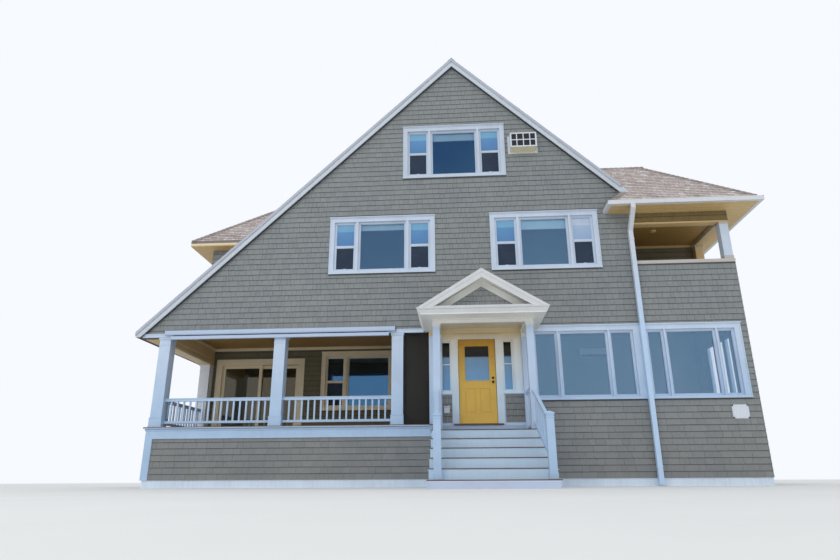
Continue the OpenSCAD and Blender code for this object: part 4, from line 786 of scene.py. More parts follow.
makeCourses("porchBackShingles", "shadedShingle", (
    porchFace, [oblong(-7.70, -0.74, 1.43, 4.0)], [casingHole(porchUnit), openings["patioDoor"]], 7))
makeCourses("leftShingles", "shingle", (
    leftFace, [oblong(-rear - outer, -2.885, foot, head)], [casingHole(w) for w in leftUnits], 8))
makeCourses("rightShingles", "shingle", (
    rightFace, [oblong(-outer, rear + outer, foot, eaveLine), oblong(-outer, wingRear, eaveLine, parapet),
                oblong(balconyBack, wingRear, parapet, wallTop)],
    [casingHole(w) for w in rightUnits], 9),
    (rightFace, [oblong(-outer, balconyBack, beamLow, wallTop)], [], 10))
makeCourses("rearShingles", "shingle", (
    rearFace, [[(-right, foot), (-left, foot), (-left, 4.17), gableTop, (-right, 4.815)],
               [(-left, head), (8.20, head), (-left, 4.17)],
               [(-right, eaveLine), (-right, 4.815), (-7.54, eaveLine)]],
    [casingHole(w) for w in rearUnits], 11))
makeCourses("cheekShingles", "shingle", (
    dormerFace, [oblong(-5.256, -1.784, dormerLow, wallTop)], [casingHole(w) for w in dormerUnits], 12),
    (frontWall(dormerFront), [[(dormerLeft, dormerLow), (-5.25, wallTop), (dormerLeft, wallTop)]], [], 13),
    (rearWall(dormerRear), [[(-dormerLeft, dormerLow), (-dormerLeft, wallTop), (5.25, wallTop)]], [], 14),
    (rearWall(wingRear), [[(-right, 5.065), (-5.25, wallTop), (-right, wallTop)]], [], 15))
makeCourses("balconyShingles", "shadedShingle",
            (frontWall(balconyBack), [oblong(balconyLeft, 6.87, 4.40, 6.59)], [], 16),
            (rightWall(balconyLeft), [oblong(0.18, balconyBack, 4.40, 6.59)], [], 17))
makeCourses("pedimentShingles", "litPedimentShingle", (
    pedimentFace, [[(-0.365, 3.92), (1.495, 3.92), (portico["x"], 4.49)]], [], 18, pedimentLook, 3.87))
print("wall shingles done")


# Roof tabs

def slopeFace(axis, side, edge, eave, cos=slopeCos, sin=slopeSin):
    # one slope of a roof, up from its eave at edge, with u along the eave
    def face(u, out, v):
        across, height = edge - side * (v * cos - out * sin), eave + v * sin + out * cos
        return (across, u, height) if axis == "x" else (u, across, height)
    return face


def mainSlope(side, eave):
    return slopeFace("x", side, side * eave, house["ridge"] - eave * slopeTan)


def hipTabs(axis, side, edge, regions, seed):
    return (slopeFace(axis, side, edge, house["bayEave"]), regions, [], seed, tabLook, 0.0)


# Along the eaves, and up the slopes of the main roof and of the hipped ones
roofNear, roofFar, tabStart = -0.148, 11.118, 0.012
leftTop, rightTop = house["leftEave"] / slopeCos - 0.02, house["rightEave"] / slopeCos - 0.02
wingFront, wingRidge, wingEnd, wingEave, returnEave = -0.52, 1.60, 3.72, 7.66, 4.0
wingPeak, wingValley, wingLow, wingTop = 5.54, 2.954, 3.393, 6.542
dormerNear, dormerRidge, dormerFar, dormerEave, dormerPeak = 1.40, 3.52, 5.64, -7.89, -5.77
hipTop, returnTop, sideLow, valleyLow, valleyTop = house["bayHalf"] / slopeCos, 0.723, 1.376, 4.325, 7.474
dormerSide = [(dormerEave, 0.0), (-5.15, 0.0), (-wingValley, hipTop), (dormerPeak, hipTop)]

makeCourses("leftRoofTabs", "roof", (mainSlope(-1, house["leftEave"]), [
    oblong(roofNear, dormerNear, tabStart, leftTop), oblong(dormerFar, roofFar, tabStart, leftTop),
    oblong(dormerNear, dormerFar, tabStart, sideLow), oblong(dormerNear, dormerFront, sideLow, valleyLow),
    oblong(dormerRear, dormerFar, sideLow, valleyLow),
    [(dormerNear, valleyLow), (dormerRidge, valleyTop), (dormerRidge, leftTop), (dormerNear, leftTop)],
    [(dormerRidge, valleyTop), (dormerFar, valleyLow), (dormerFar, leftTop), (dormerRidge, leftTop)],
], [], 21, tabLook, tabStart), slotName="roof_shingles")
makeCourses("rightRoofTabs", "roof", (mainSlope(1, house["rightEave"]), [
    oblong(wingEnd, roofFar, tabStart, rightTop), oblong(wingRear, wingEnd, tabStart, wingLow),
    [(wingRidge, wingTop), (wingEnd, wingLow), (wingEnd, rightTop), (wingRidge, rightTop)],
    [(roofNear, 4.50), (0.0, 4.33), (wingRidge, wingTop), (wingRidge, rightTop), (roofNear, rightTop)],
], [], 22, tabLook, tabStart), slotName="roof_shingles")
makeCourses(
    "hipRoofTabs", "roof",
    hipTabs("y", -1, wingFront, [
        [(returnEave, 0.0), (wingEave, 0.0), (7.14, returnTop), (4.53, returnTop)],
        [(4.53, returnTop), (7.14, returnTop), (wingPeak, hipTop), (wingValley, hipTop)]], 23),
    hipTabs("x", -1, returnEave, [[(0.0, 0.0), (0.0, returnTop), (wingFront, 0.0)]], 24),
    hipTabs("x", 1, wingEave, [[(wingFront, 0.0), (wingEnd, 0.0), (wingRidge, hipTop)]], 25),
    hipTabs("y", 1, wingEnd, [
        [(5.15, 0.0), (wingEave, 0.0), (wingPeak, hipTop), (wingValley, hipTop)]], 26),
    hipTabs("x", -1, dormerEave, [[(dormerNear, 0.0), (dormerFar, 0.0), (dormerRidge, hipTop)]], 27),
    hipTabs("y", -1, dormerNear, [dormerSide], 28), hipTabs("y", 1, dormerFar, [dormerSide], 29),
    slotName="roof_shingles")

# Folded cap pieces over the ridges and hips
capLook = {"step": 0.15, "half": 0.135, "thick": 0.007, "lift": 0.012, "tuck": 0.002, "overlap": 1.25}


def layCaps(shape, start, end, normalA, normalB, look=capLook):
    start, end = Vector(start), Vector(end)
    run, total = (end - start).normalized(), (end - start).length
    sides = []
    for normal in (Vector(normalA), Vector(normalB)):
        down = run.cross(normal)
        sides.append((down if down.z < 0 else -down, normal))
    (downA, normalA), (downB, normalB) = sides
    up = (normalA + normalB).normalized()
    reach = 1 / max(0.3, up.dot(normalA))
    for i in range(int(total / look["step"])):
        rings = []
        for place, lift in ((i, look["lift"]), (i + look["overlap"], look["tuck"])):
            p, top = start + run * min(total, place * look["step"]), lift + look["thick"]
            ring = [p + downA * look["half"] + normalA * lift, p + up * lift * reach,
                    p + downB * look["half"] + normalB * lift, p + downB * look["half"] + normalB * top,
                    p + up * top * reach, p + downA * look["half"] + normalA * top]
            rings.append([tuple(point) for point in ring])
        addPrism(shape, *rings)
        shape.setdefault("rise", []).extend([0.5] * 12)


slopes = {"left": (-slopeSin, 0, slopeCos), "right": (slopeSin, 0, slopeCos),
          "front": (0, -slopeSin, slopeCos), "rear": (0, slopeSin, slopeCos)}
ridgeCaps, hipCaps = newShape(), newShape()
layCaps(ridgeCaps, (0, roofNear, 11.8712), (0, 11.11, 11.8712), slopes["left"], slopes["right"],
        dict(capLook, lift=0.008, thick=0.006))
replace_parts(makePiece("ridgeCaps", ridgeCaps, "shadedRoofCap", "roof_shingles"), "ridge_cap")
bayRidge, capFoot = house["bayEave"] + house["bayHalf"] * slopeTan, 6.98
for start, end, first, second in (
        ((7.65, -0.51, capFoot), (wingPeak, wingRidge, bayRidge), "front", "right"),
        ((7.65, 3.71, capFoot), (wingPeak, wingRidge, bayRidge), "rear", "right"),
        ((5.64, wingRidge, bayRidge), (2.96, wingRidge, bayRidge), "front", "rear"),
        ((4.01, -0.51, capFoot), (4.51, -0.01, 7.463), "front", "left"),
        ((-7.88, 1.41, capFoot), (dormerPeak, dormerRidge, bayRidge), "front", "left"),
        ((-7.88, 5.63, capFoot), (dormerPeak, dormerRidge, bayRidge), "rear", "left"),
        ((-5.87, dormerRidge, bayRidge), (-2.96, dormerRidge, bayRidge), "front", "rear")):
    layCaps(hipCaps, start, end, slopes[first], slopes[second])
makePiece("hipCaps", hipCaps, "shadedRoofCap", "roof_shingles")

porticoTabs, porticoHalf, porticoRidge, porticoEnds = newShape(), 1.5, 4.781, (-1.698, -0.004)
porticoPitch = math.atan2(portico["rise"], porticoHalf)
porticoCos, porticoSin = math.cos(porticoPitch), math.sin(porticoPitch)
for side, seed in ((-1, 30), (1, 31)):
    face = slopeFace("x", side, portico["x"] + side * porticoHalf, portico["eave"], porticoCos, porticoSin)
    layCourses(porticoTabs, face, [oblong(*porticoEnds, 0.005, porticoHalf / porticoCos - 0.01)], [], seed,
               dict(tabLook, butt=0.007), 0.005)
layCaps(porticoTabs, *[(portico["x"], y, porticoRidge) for y in porticoEnds],
        (-porticoSin, 0, porticoCos), (porticoSin, 0, porticoCos), dict(capLook, half=0.11))
makePiece("porticoTabs", porticoTabs, "roof", "roof_shingles")
print("roof tabs done")


# Window dressing: lights of a unit, its bands and beads, screens, panes with a painted sky reflection and
# roller shades

paneDepth = (-0.0735, -0.0705)
windowDress = {  # depths run from back to front
    "band": 0.026, "bandDepth": (0.028, 0.042), "shadowStrip": 0.024, "shadowStripDepth": (0.0, 0.030),
    "capSide": 0.012, "capHigh": 0.022, "capDepth": (0.0, 0.062), "meeting": 0.05,
    "bead": 0.013, "beadDepth": (-0.074, -0.050), "rim": 0.016, "rimDepth": (-0.046, -0.036),
    "screenDepth": (-0.042, -0.040),
    "grip": 0.03, "gripHigh": 0.012, "gripDepth": (-0.038, -0.032),
    "lock": 0.022, "lockBelow": (-0.034, -0.014), "lockDepth": (-0.032, -0.022),
    "shadeIn": 0.118, "shadeSide": 0.02, "hem": 0.022, "rollerSide": 0.03, "rollerTop": 0.06,
}
windowPieces = {  # finish, slot and bevel
    "casingBands": ("trim", "white_trim", 0.004), "shadowStripEdges": ("shadowStrip", "white_trim"),
    "glazingBeads": ("trim", "white_trim"), "screenRims": ("trim", "white_trim"),
    "sashScreens": ("sashMesh", "dark_screen"), "paintedSkyPanes": ("paintedSkyPane", "window_glass"),
    "palePaintedSkyPanes": ("palePaintedSkyPane", "window_glass"), "porchPanes": ("porchGlass", "window_glass"),
    "rollerShades": ("shade", "white_trim"), "shadeBars": ("trim", "white_trim", 0.003),
}


def lightsOf(w):
    # every light as low and high u, low and high v, and what it is
    v0, v1 = w["v"], w["v"] + w["height"]
    half = (w["height"] - windowDress["meeting"]) / 2

    def column(u0, u1):
        if not w["hung"]:
            return [(u0, u1, v0, v1, "fixed")]
        return [(u0, u1, v0, v0 + half, "lower"), (u0, u1, v1 - half, v1, "upper")]

    if not w["side"]:
        return column(w["u"], w["u"] + w["width"])
    u0 = w["u"] + w["side"] + w["post"]
    u1 = u0 + w["centre"] + w["post"]
    centre = [(u0, u0 + w["centre"], v0, v1, "centre")]
    return column(w["u"], w["u"] + w["side"]) + centre + column(u1, u1 + w["side"])


# A face, a unit, and how far its shade is drawn
windowSets = [(frontFace, gableUnit, 0.21), (frontFace, upperLeft, 0.15), (frontFace, upperRight, 0.25),
              (frontFace, sunLeft, 0), (frontFace, sunRight, 0), (porchFace, porchUnit, 0)]
for face, units, drawn in ((rearFace, rearUnits, 0.18), (rightFace, rightUnits, 0),
                           (leftFace, leftUnits, 0.18), (dormerFace, dormerUnits, 0.18)):
    windowSets += [(face, w, drawn) for w in units]

patioPane = newShape()
addPane(patioPane, porchFace, -7.055, -6.03, 1.55, 3.385, -0.0565, -0.0545)
makePiece("patioPane", patioPane, "patioGlass", "window_glass")
shapes = {name: newShape() for name in windowPieces}
band, bead, rim, side, hem = [windowDress[key] for key in ("band", "bead", "rim", "shadeSide", "hem")]
grip, lock, capSide, roller = [windowDress[key] for key in ("grip", "lock", "capSide", "rollerSide")]
(lockLow, lockTop), back = windowDress["lockBelow"], -windowDress["shadeIn"]
for face, w, drawn in windowSets:
    u0, u1, v0, v1 = casingHole(w)
    addFrame(shapes["casingBands"], face, *inset(casingHole(w), band), band, *windowDress["bandDepth"])
    addPlate(shapes["casingBands"], face, u0 - capSide, u1 + capSide, v1 - 0.004,
             v1 + windowDress["capHigh"], *windowDress["capDepth"])
    # painted shadow: a dark strip under each casing, where the sill's shade falls
    addPlate(shapes["shadowStripEdges"], face, u0 + 0.004, u1 - 0.004, v0 - windowDress["shadowStrip"], v0 + 0.003,
             *windowDress["shadowStripDepth"])
    for *light, kind in lightsOf(w):
        u0, u1, v0, v1 = light
        middle = (u0 + u1) / 2
        addFrame(shapes["glazingBeads"], face, *inset(light, bead), bead, *windowDress["beadDepth"])
        if kind == "lower":
            addFrame(shapes["screenRims"], face, *inset(light, rim), rim, *windowDress["rimDepth"])
            addPlate(shapes["sashScreens"], face, *inset(light, rim / 2), *windowDress["screenDepth"])
            addPlate(shapes["screenRims"], face, middle - grip, middle + grip, v0 + rim,
                     v0 + rim + windowDress["gripHigh"], *windowDress["gripDepth"])
        if kind == "upper" and face is not porchFace:
            # painted sky reflection on the upper lights
            pale = w is upperRight and u0 > w["u"] + w["side"]
            addPane(shapes["palePaintedSkyPanes" if pale else "paintedSkyPanes"], face, *inset(light, bead), *paneDepth)
            addPlate(shapes["screenRims"], face, middle - lock, middle + lock, v0 + lockLow, v0 + lockTop,
                     *windowDress["lockDepth"])
        if face is porchFace:
            addPane(shapes["porchPanes"], face, *inset(light, bead), *paneDepth)
        if drawn and kind == "centre":
            addPlate(shapes["rollerShades"], face, u0 - side, u1 + side, v1 - drawn, v1 + side,
                     back, back + 0.002)
            addPlate(shapes["shadeBars"], face, u0 - side, u1 + side, v1 - drawn - hem, v1 - drawn,
                     back - 0.004, back + 0.008)
            addPlate(shapes["shadeBars"], face, u0 - roller, u1 + roller, v1 + side,
                     v1 + windowDress["rollerTop"], back - 0.035, back + 0.010)
made = {name: makePiece(name, shapes[name], *row) for name, row in windowPieces.items()}
print("windows dressed:", len(windowSets))


# Front wall trim: frieze, rim board steps, riser board, corner boards and sidelights of the entry

makePlates("frontTrimBoards", [
    (frontFace, -8.19, -0.87, 3.70, 3.79, -0.002, 0.030),
    (frontFace, -8.17, -0.87, 3.775, 3.797, 0.028, 0.046),
    (frontFace, -7.772, -0.668, 1.338, 1.388, 0.033, 0.052),
    (leftFace, -2.895, 0.052, 1.338, 1.388, 0.033, 0.052),
    (frontFace, -0.60, 1.775, 1.212, 1.402, 0.0, 0.020),
    (frontFace, -0.735, -0.595, 1.44, 3.60, 0.0, 0.018),
], "trim", bevel=0.004)
makePlates("entryBoards", [
    (frontFace, -0.735, 1.775, 3.655, 3.815, 0.0, 0.028), (frontFace, 1.362, 1.556, 2.19, 3.53, 0.0, 0.018),
    (frontFace, 1.724, 1.775, 1.44, 3.60, 0.0, 0.018)], "entryPaint", bevel=0.004)

sidelight = {"lefts": (-0.443, 1.083), "wide": 0.25, "low": 2.21, "high": 3.462, "muntin": 2.865,
             "bar": 0.026, "stop": 0.034, "lip": 0.024, "sillEnds": (0.02, 0.392)}
sidelights, entryPanes = newShape(), newShape()
for u0, sillEnd in zip(sidelight["lefts"], sidelight["sillEnds"]):
    light = (u0, u0 + sidelight["wide"], sidelight["low"], sidelight["high"])
    p0, p1, low, high = inset(light, 0.03)
    bar = sidelight["muntin"]
    addFrame(sidelights, frontFace, *inset(light, sidelight["stop"]), sidelight["stop"], -0.074, -0.022)
    addFrame(sidelights, frontFace, *light, sidelight["lip"], -0.004, 0.014)
    # painted reflection on the sidelights: the sky low down, the portico's dark ceiling higher up
    addPane(entryPanes, frontFace, p0, p1, low, bar, *paneDepth, 0.0, 0.5)
    addPane(entryPanes, frontFace, p0, p1, bar, high, *paneDepth, 0.5, 1.0)
    addPlate(sidelights, frontFace, p0, p1, bar, bar + sidelight["bar"], -0.074, -0.040)
    addPlate(sidelights, frontFace, u0 - 0.02, light[1] + sillEnd, 2.135, 2.19, 0.0, 0.048)
makePiece("sidelightPanes", entryPanes, "entryReflectionPane", "window_glass")
makePiece("sidelightFrames", sidelights, "entryPaint", bevel=0.003)
makePlates("entrySill", [(frontFace, -0.150, 1.040, 1.402, 1.437, -0.004, 0.050)],
           "nosing", "deck_boards", 0.006)


# Posts, rails and the folded awning of the porch

postLook = {
    "wide": 0.29, "firstX": -7.72, "pitch": 3.02, "top": 3.70, "rear": (-7.72, 2.595, 3.47),
    # how far down from the top, then how far out
    "headCollars": ((0.052, 0.002, 0.022), (0.066, 0.052, 0.011), (0.205, 0.187, 0.009)),
    "footCollars": ((1.648, 1.668, 0.022), (1.432, 1.458, 0.024)),
    "railFrom": (2.129, 2.150), "stairRail": (2.159, 2.180),
}
wide = postLook["wide"]
postXs = [postLook["firstX"] + i * postLook["pitch"] for i in range(3)]
collars = newShape()
for x, y, top in [(x, 0.0, postLook["top"]) for x in postXs] + [postLook["rear"]]:
    for down, up, out in postLook["headCollars"]:
        addCollar(collars, x, x + wide, y, y + wide, top - down, top - up, out)
    for low, high, out in postLook["footCollars"]:
        addCollar(collars, x, x + wide, y, y + wide, low, high, out)
makePiece("postCollars", collars, "trim", bevel=0.005)

railCaps = newShape()
for x in postXs[:2]:
    addBox(railCaps, x + wide, x + postLook["pitch"], 0.098, 0.192, *postLook["railFrom"])
addBox(railCaps, -7.622, -7.528, 0.29, 2.595, *postLook["railFrom"])
for x in portico["columns"]:
    addBox(railCaps, x - 0.045, x + 0.045, -1.085, -0.083, *postLook["stairRail"])
makePiece("railCaps", railCaps, "trim", bevel=0.008)

awning = {"x0": -7.56, "x1": -1.583, "top": 3.86, "low": 3.735, "out": 0.12, "barIn": 0.16,
          "barLow": 3.625, "barTop": 3.712, "capWide": 0.03, "armWide": 0.02}
case, channel = newShape(), newShape()
x0, x1, top, low, out = [awning[key] for key in ("x0", "x1", "top", "low", "out")]
bar0, bar1, barLow, barTop = x0 + awning["barIn"], x1 - awning["barIn"], awning["barLow"], awning["barTop"]
addBar(case, x0, x1, -out, -0.001, low + 0.001, top, 0.034, 6)
addBar(case, bar0, bar1, -0.104, -0.030, barLow, barTop, 0.014)
addBox(case, x0 + 0.10, x1 - 0.10, -0.122, -0.112, 3.770, 3.776)
for x in (x0, x1 - awning["capWide"]):
    addBar(case, x, x + awning["capWide"], -out - 0.004, -0.001, low - 0.003, top + 0.004, 0.036, 6)
for x in (bar0, bar1 - awning["armWide"]):
    addBar(case, x, x + awning["armWide"], -0.109, -0.026, barLow - 0.004, barTop + 0.004, 0.016)
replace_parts(makePiece("awningCase", case, "awningMetal", "white_metal", 0.002), "awning")
addBar(channel, x0 + 0.20, x1 - 0.20, -0.080, -0.034, barTop - 0.002, low + 0.004, 0.006)
makePiece("awningChannel", channel, "dark", "black_hardware")

mouldingLook = {
    "wall": (-7.43, -0.742), "crown": (3.935, 3.999), "fillet": (3.915, 3.935),
    "rings": ((-7.431, -7.390, 0.30, 2.86), (-0.782, -0.741, 0.182, 2.86), (-7.43, -0.742, 0.181, 0.222)),
    "beamRun": (0.292, 2.594), "beamFoot": (3.471, 3.520), "beamSeam": (3.640, 3.665),
    "beamFaces": ((-7.734, 0.016, 0.004, 0.016), (-7.432, 0.016, 0.0, 0.012)),  # x, foot, seam from and to
}
porchTrim = newShape()
addPlate(porchTrim, porchFace, *mouldingLook["wall"], *mouldingLook["crown"], 0.0, 0.045)
addPlate(porchTrim, porchFace, *mouldingLook["wall"], *mouldingLook["fillet"], 0.0, 0.020)
for ring in mouldingLook["rings"]:
    addBox(porchTrim, *ring, *mouldingLook["crown"])
for x, footWide, seam0, seam1 in mouldingLook["beamFaces"]:
    addBox(porchTrim, x, x + footWide, *mouldingLook["beamRun"], *mouldingLook["beamFoot"])
    addBox(porchTrim, x + seam0, x + seam1, *mouldingLook["beamRun"], *mouldingLook["beamSeam"])
# cream: painted warm bounce light inside the porch
makePiece("porchMouldings", porchTrim, "porchBounceCream", bevel=0.004)
print("porch trim done")


# Portico: neck and foot of its columns, beam fillets, raking boards and cornice steps

porticoSlope = portico["rise"] / portico["half"]
columnTrim = newShape()
for x in portico["columns"]:
    for y0, y1 in portico["rows"]:
        for low, high, out in portico["collars"]:
            addCollar(columnTrim, x - portico["wide"] / 2, x + portico["wide"] / 2, y0, y1, low, high, out)
addPlate(columnTrim, pedimentFace, -0.5925, 1.7225, 3.612, 3.640, 0.0, 0.010)
addPlate(columnTrim, pedimentFace, -0.5925, 1.7225, 3.690, 3.712, 0.0, 0.016)
makePiece("columnTrim", columnTrim, "porticoPaint", bevel=0.004)


def addRake(shape, y0, y1, top0, top1, foot):
    # a pair of boards under the portico's slopes, between two depths measured down from the slope's top
    half, peak = portico["half"], portico["eave"] + portico["rise"]
    for side in (-1, 1):
        ring = []
        for drop in (top0, top1):
            reach = (peak - drop - foot) / porticoSlope
            end = foot if reach <= half else peak - drop - half * porticoSlope
            ring.append(((portico["x"], peak - drop), (portico["x"] + side * min(reach, half), end)))
        (p0, p1), (q0, q1) = ring
        addPrism(shape, *[[(x, y, z) for x, z in (p0, p1, q1, q0)] for y in (y0, y1)])


raking, tympanumFrame = newShape(), newShape()
# shape, front and rear, upper and lower depth, and the height at which the ends are cut
for row in ((raking, -1.718, -1.700, 0.0, 0.205, 3.862), (raking, -1.736, -1.716, -0.004, 0.075, 3.866),
            (tympanumFrame, -1.272, -1.249, 0.120, 0.295, 3.912)):
    addRake(*row)
addPlate(tympanumFrame, pedimentFace, -0.72, 1.85, 3.905, 3.935, 0.0, 0.026)
makePiece("tympanumFrame", tympanumFrame, "tympanum", bevel=0.003)
crown = [(-0.925, 3.845, 0.030), (2.055, 3.845, 0.030), (2.075, 3.872, 0.036), (-0.945, 3.872, 0.036)]
addPrism(raking, [corniceFace(x, 0.0, z) for x, z, out in crown],
         [corniceFace(x, out, z) for x, z, out in crown])
addPlate(raking, corniceFace, -0.848, 1.978, 3.712, 3.742, 0.0, 0.014)
makePiece("porticoMouldings", raking, "porticoRoofPaint", bevel=0.003)


# Steps: rounded nosings, newel caps and the landing

steps = {"count": 5, "top": 1.21, "lowest": 0.165, "front": -1.25, "run": 0.345, "out": 0.025,
         "ends": (-0.668, 1.858), "newels": (-0.465, 1.73), "newelHalf": 0.075,
         "newelRow": (-2.805, -2.655), "collars": ((0.166, 0.285, 0.012), (1.300, 1.318, 0.008)),
         "cap": 1.395, "capOut": 0.013, "capHigh": 0.038, "tipHalf": 0.02, "tipMiddle": -2.73}
nosings, newelTrim = newShape(), newShape()
for i in range(steps["count"]):
    y = steps["front"] - i * steps["run"] - steps["out"]
    z = steps["top"] - i * (steps["top"] - steps["lowest"]) / steps["count"]
    addBar(nosings, *steps["ends"], y - 0.014, y + 0.010, z - 0.017, z + 0.001, 0.007, 3)
deckLow, deckHigh = [Vector(point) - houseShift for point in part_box("porch_deck")]
addBar(nosings, deckLow.x, deckHigh.x, deckLow.y - 0.003, deckLow.y + 0.02,
       deckHigh.z - 0.018, deckHigh.z + 0.001, 0.006, 3)
makePiece("treadNosings", nosings, "nosing", "deck_boards")
for x in steps["newels"]:
    y0, y1 = steps["newelRow"]
    shaft = (x - steps["newelHalf"], x + steps["newelHalf"], y0, y1)
    for collar in steps["collars"]:
        addCollar(newelTrim, *shaft, *collar)
    tip, middle = steps["tipHalf"], steps["tipMiddle"]
    addPrism(newelTrim, [(px, py, steps["cap"]) for px, py in oblong(*inset(shaft, -steps["capOut"]))],
             [(px, py, steps["cap"] + steps["capHigh"])
              for px, py in oblong(x - tip, x + tip, middle - tip, middle + tip)])
makePiece("newelTrim", newelTrim, "trim", bevel=0.003)


# Entry door: bead round the light, mouldings round the panels, kick strip

doorLook = {"light": (0.150, 0.740, 2.479, 3.334), "lightBead": 0.020, "pane": (0.135, 0.755, 2.464, 3.349),
            "panels": ((0.143, 0.387, 1.717, 2.281), (0.503, 0.747, 1.717, 2.281)), "panelBead": 0.013,
            "kick": (0.004, 0.896, 1.452, 1.470)}
doorTrim, doorPane = newShape(), newShape()
for face in (doorFront, doorBack):
    addFrame(doorTrim, face, *doorLook["light"], doorLook["lightBead"], -0.0165, 0.006)
    for panel in doorLook["panels"]:
        addFrame(doorTrim, face, *panel, doorLook["panelBead"], -0.0095, 0.003)
addPlate(doorTrim, doorFront, *doorLook["kick"], 0.0, 0.010)
# painted reflection on the door's light: the sky low down, the portico's dark ceiling higher up
addPane(doorPane, doorFront, *doorLook["pane"], -0.0180, -0.0165)
makePiece("doorPane", doorPane, "entryReflectionPane", "window_glass", body="entry_door")
makePiece("doorMouldings", doorTrim, "door", "yellow_paint", 0.003, "entry_door")


# Gutter bead, hangers and joints, downspout joints and folds

gutter = {"top": 6.92, "low": 6.81, "front": -0.62, "back": -0.52, "left": 3.90, "right": 7.76,
          "bead": 0.017, "hangers": 6, "hangerPitch": 0.62, "joints": (5.30, 6.85),
          "spoutJoints": (0.42, 1.95, 3.45, 4.72, 6.02), "jointRing": (4.458, 4.582, -0.172, -0.052),
          "spoutSeams": (2.62, 5.35), "seamRing": (4.461, 4.579, -0.169, -0.051),
          "folds": (4.492, 4.520, 4.548), "foldHalf": 0.004, "foldRun": (-0.168, -0.160, 0.06, 6.20)}
gutterTrim = newShape()
x0, x1, y0, y1, top, low = [gutter[key] for key in ("left", "right", "front", "back", "top", "low")]
bead = (top - 0.014, top + 0.003)
addBar(gutterTrim, x0, x1, y0 + 0.001, y0 + gutter["bead"], *bead, 0.006, 3)
addBox(gutterTrim, x1 - gutter["bead"], x1, y0, wingRear, *bead)
addBox(gutterTrim, x0, x0 + gutter["bead"], y0, 0.0, *bead)
for i in range(gutter["hangers"]):
    x = x0 + 0.35 + i * gutter["hangerPitch"]
    addBox(gutterTrim, x, x + 0.03, y0 + 0.002, y1, top - 0.006, top + 0.001)
for x in gutter["joints"]:
    addBox(gutterTrim, x, x + 0.045, y0 - 0.003, y0 + 0.004, low - 0.003, top)
    addBox(gutterTrim, x, x + 0.045, y0 - 0.003, y1, low - 0.003, low + 0.003)
for heights, ring, high in (("spoutJoints", "jointRing", 0.030), ("spoutSeams", "seamRing", 0.008)):
    for z in gutter[heights]:
        addBox(gutterTrim, *gutter[ring], z, z + high)
for x in gutter["folds"]:
    addBox(gutterTrim, x - gutter["foldHalf"], x + gutter["foldHalf"], *gutter["foldRun"])
makePiece("gutterTrim", gutterTrim, "metal", "white_metal")


# Boards along the balcony: beam and ceiling trims, joints of the cap, and the lamp

balconyBoards = {  # left, right, front, rear, low and high
    "beamFront": (4.602, 7.062, -0.014, 0.0, 6.500, 6.532),
    "beamUnder": (4.602, 6.83, -0.006, 0.226, 6.488, 6.500),
    "sideBeam": (7.05, 7.064, -0.014, 1.90, 6.500, 6.532),
    "sideUnder": (6.824, 7.056, -0.006, 1.90, 6.488, 6.500),
    "ceilingRear": (4.602, 6.828, 1.866, 1.898, 6.520, 6.588),
    "ceilingRight": (6.800, 6.829, 0.222, 1.866, 6.548, 6.588),
    "ceilingLeft": (4.602, 4.640, 0.222, 1.866, 6.548, 6.588),
    "ceilingFront": (4.602, 6.80, 0.221, 0.250, 6.548, 6.588),
}
balconyTrim, capTrim = newShape(), newShape()
for board in balconyBoards.values():
    addBox(balconyTrim, *board)
makePiece("balconyMouldings", balconyTrim, "tan", bevel=0.003)
balconyCap = {"sides": ((frontFace, balconyLeft + 0.002, corner), (rightFace, 0.0, balconyBack)),
              "shadowStrip": (5.350, 5.380, 0.014, 0.022), "lip": (5.380, parapet, 0.014, 0.026),
              "joints": (5.40, 6.22), "jointWide": 0.006, "jointRun": (-0.027, 0.207, 5.468, 5.472),
              "postLeft": 6.83, "posts": (0.0, 1.68), "postWide": 0.22,
              "collars": ((5.470, 5.560, 0.010), (6.440, 6.490, 0.010))}
# painted shadow: a dark strip under the cap
makePlates("capShadowStrip", [(*run, *balconyCap["shadowStrip"]) for run in balconyCap["sides"]], "shadowStrip")
for run in balconyCap["sides"]:
    addPlate(capTrim, *run, *balconyCap["lip"])
for x in balconyCap["joints"]:
    addBox(capTrim, x, x + balconyCap["jointWide"], *balconyCap["jointRun"])
for y in balconyCap["posts"]:
    for collar in balconyCap["collars"]:
        addCollar(capTrim, balconyCap["postLeft"], right, y, y + balconyCap["postWide"], *collar)
makePiece("balconyCapTrim", capTrim, "capPaint", bevel=0.003)


def circle(x, y, radius, sides):
    angles = [2 * math.pi * i / sides for i in range(sides)]
    return [(x + radius * math.cos(angle), y + radius * math.sin(angle)) for angle in angles]


lampLook = {"x": 5.383, "y": 0.741, "sides": 28,
            "discs": (((6.572, 0.086), (6.591, 0.092)), ((6.552, 0.052), (6.572, 0.078)))}
lamp = newShape()
for disc in lampLook["discs"]:
    addPrism(lamp, *[[(x, y, z) for x, y in circle(lampLook["x"], lampLook["y"], radius, lampLook["sides"])]
                     for z, radius in disc])
makePiece("balconyLamp", lamp, "tan", "white_metal", 0.003)


# Room cooler: grid over the coil, side louvres; plaque border; letter box lid

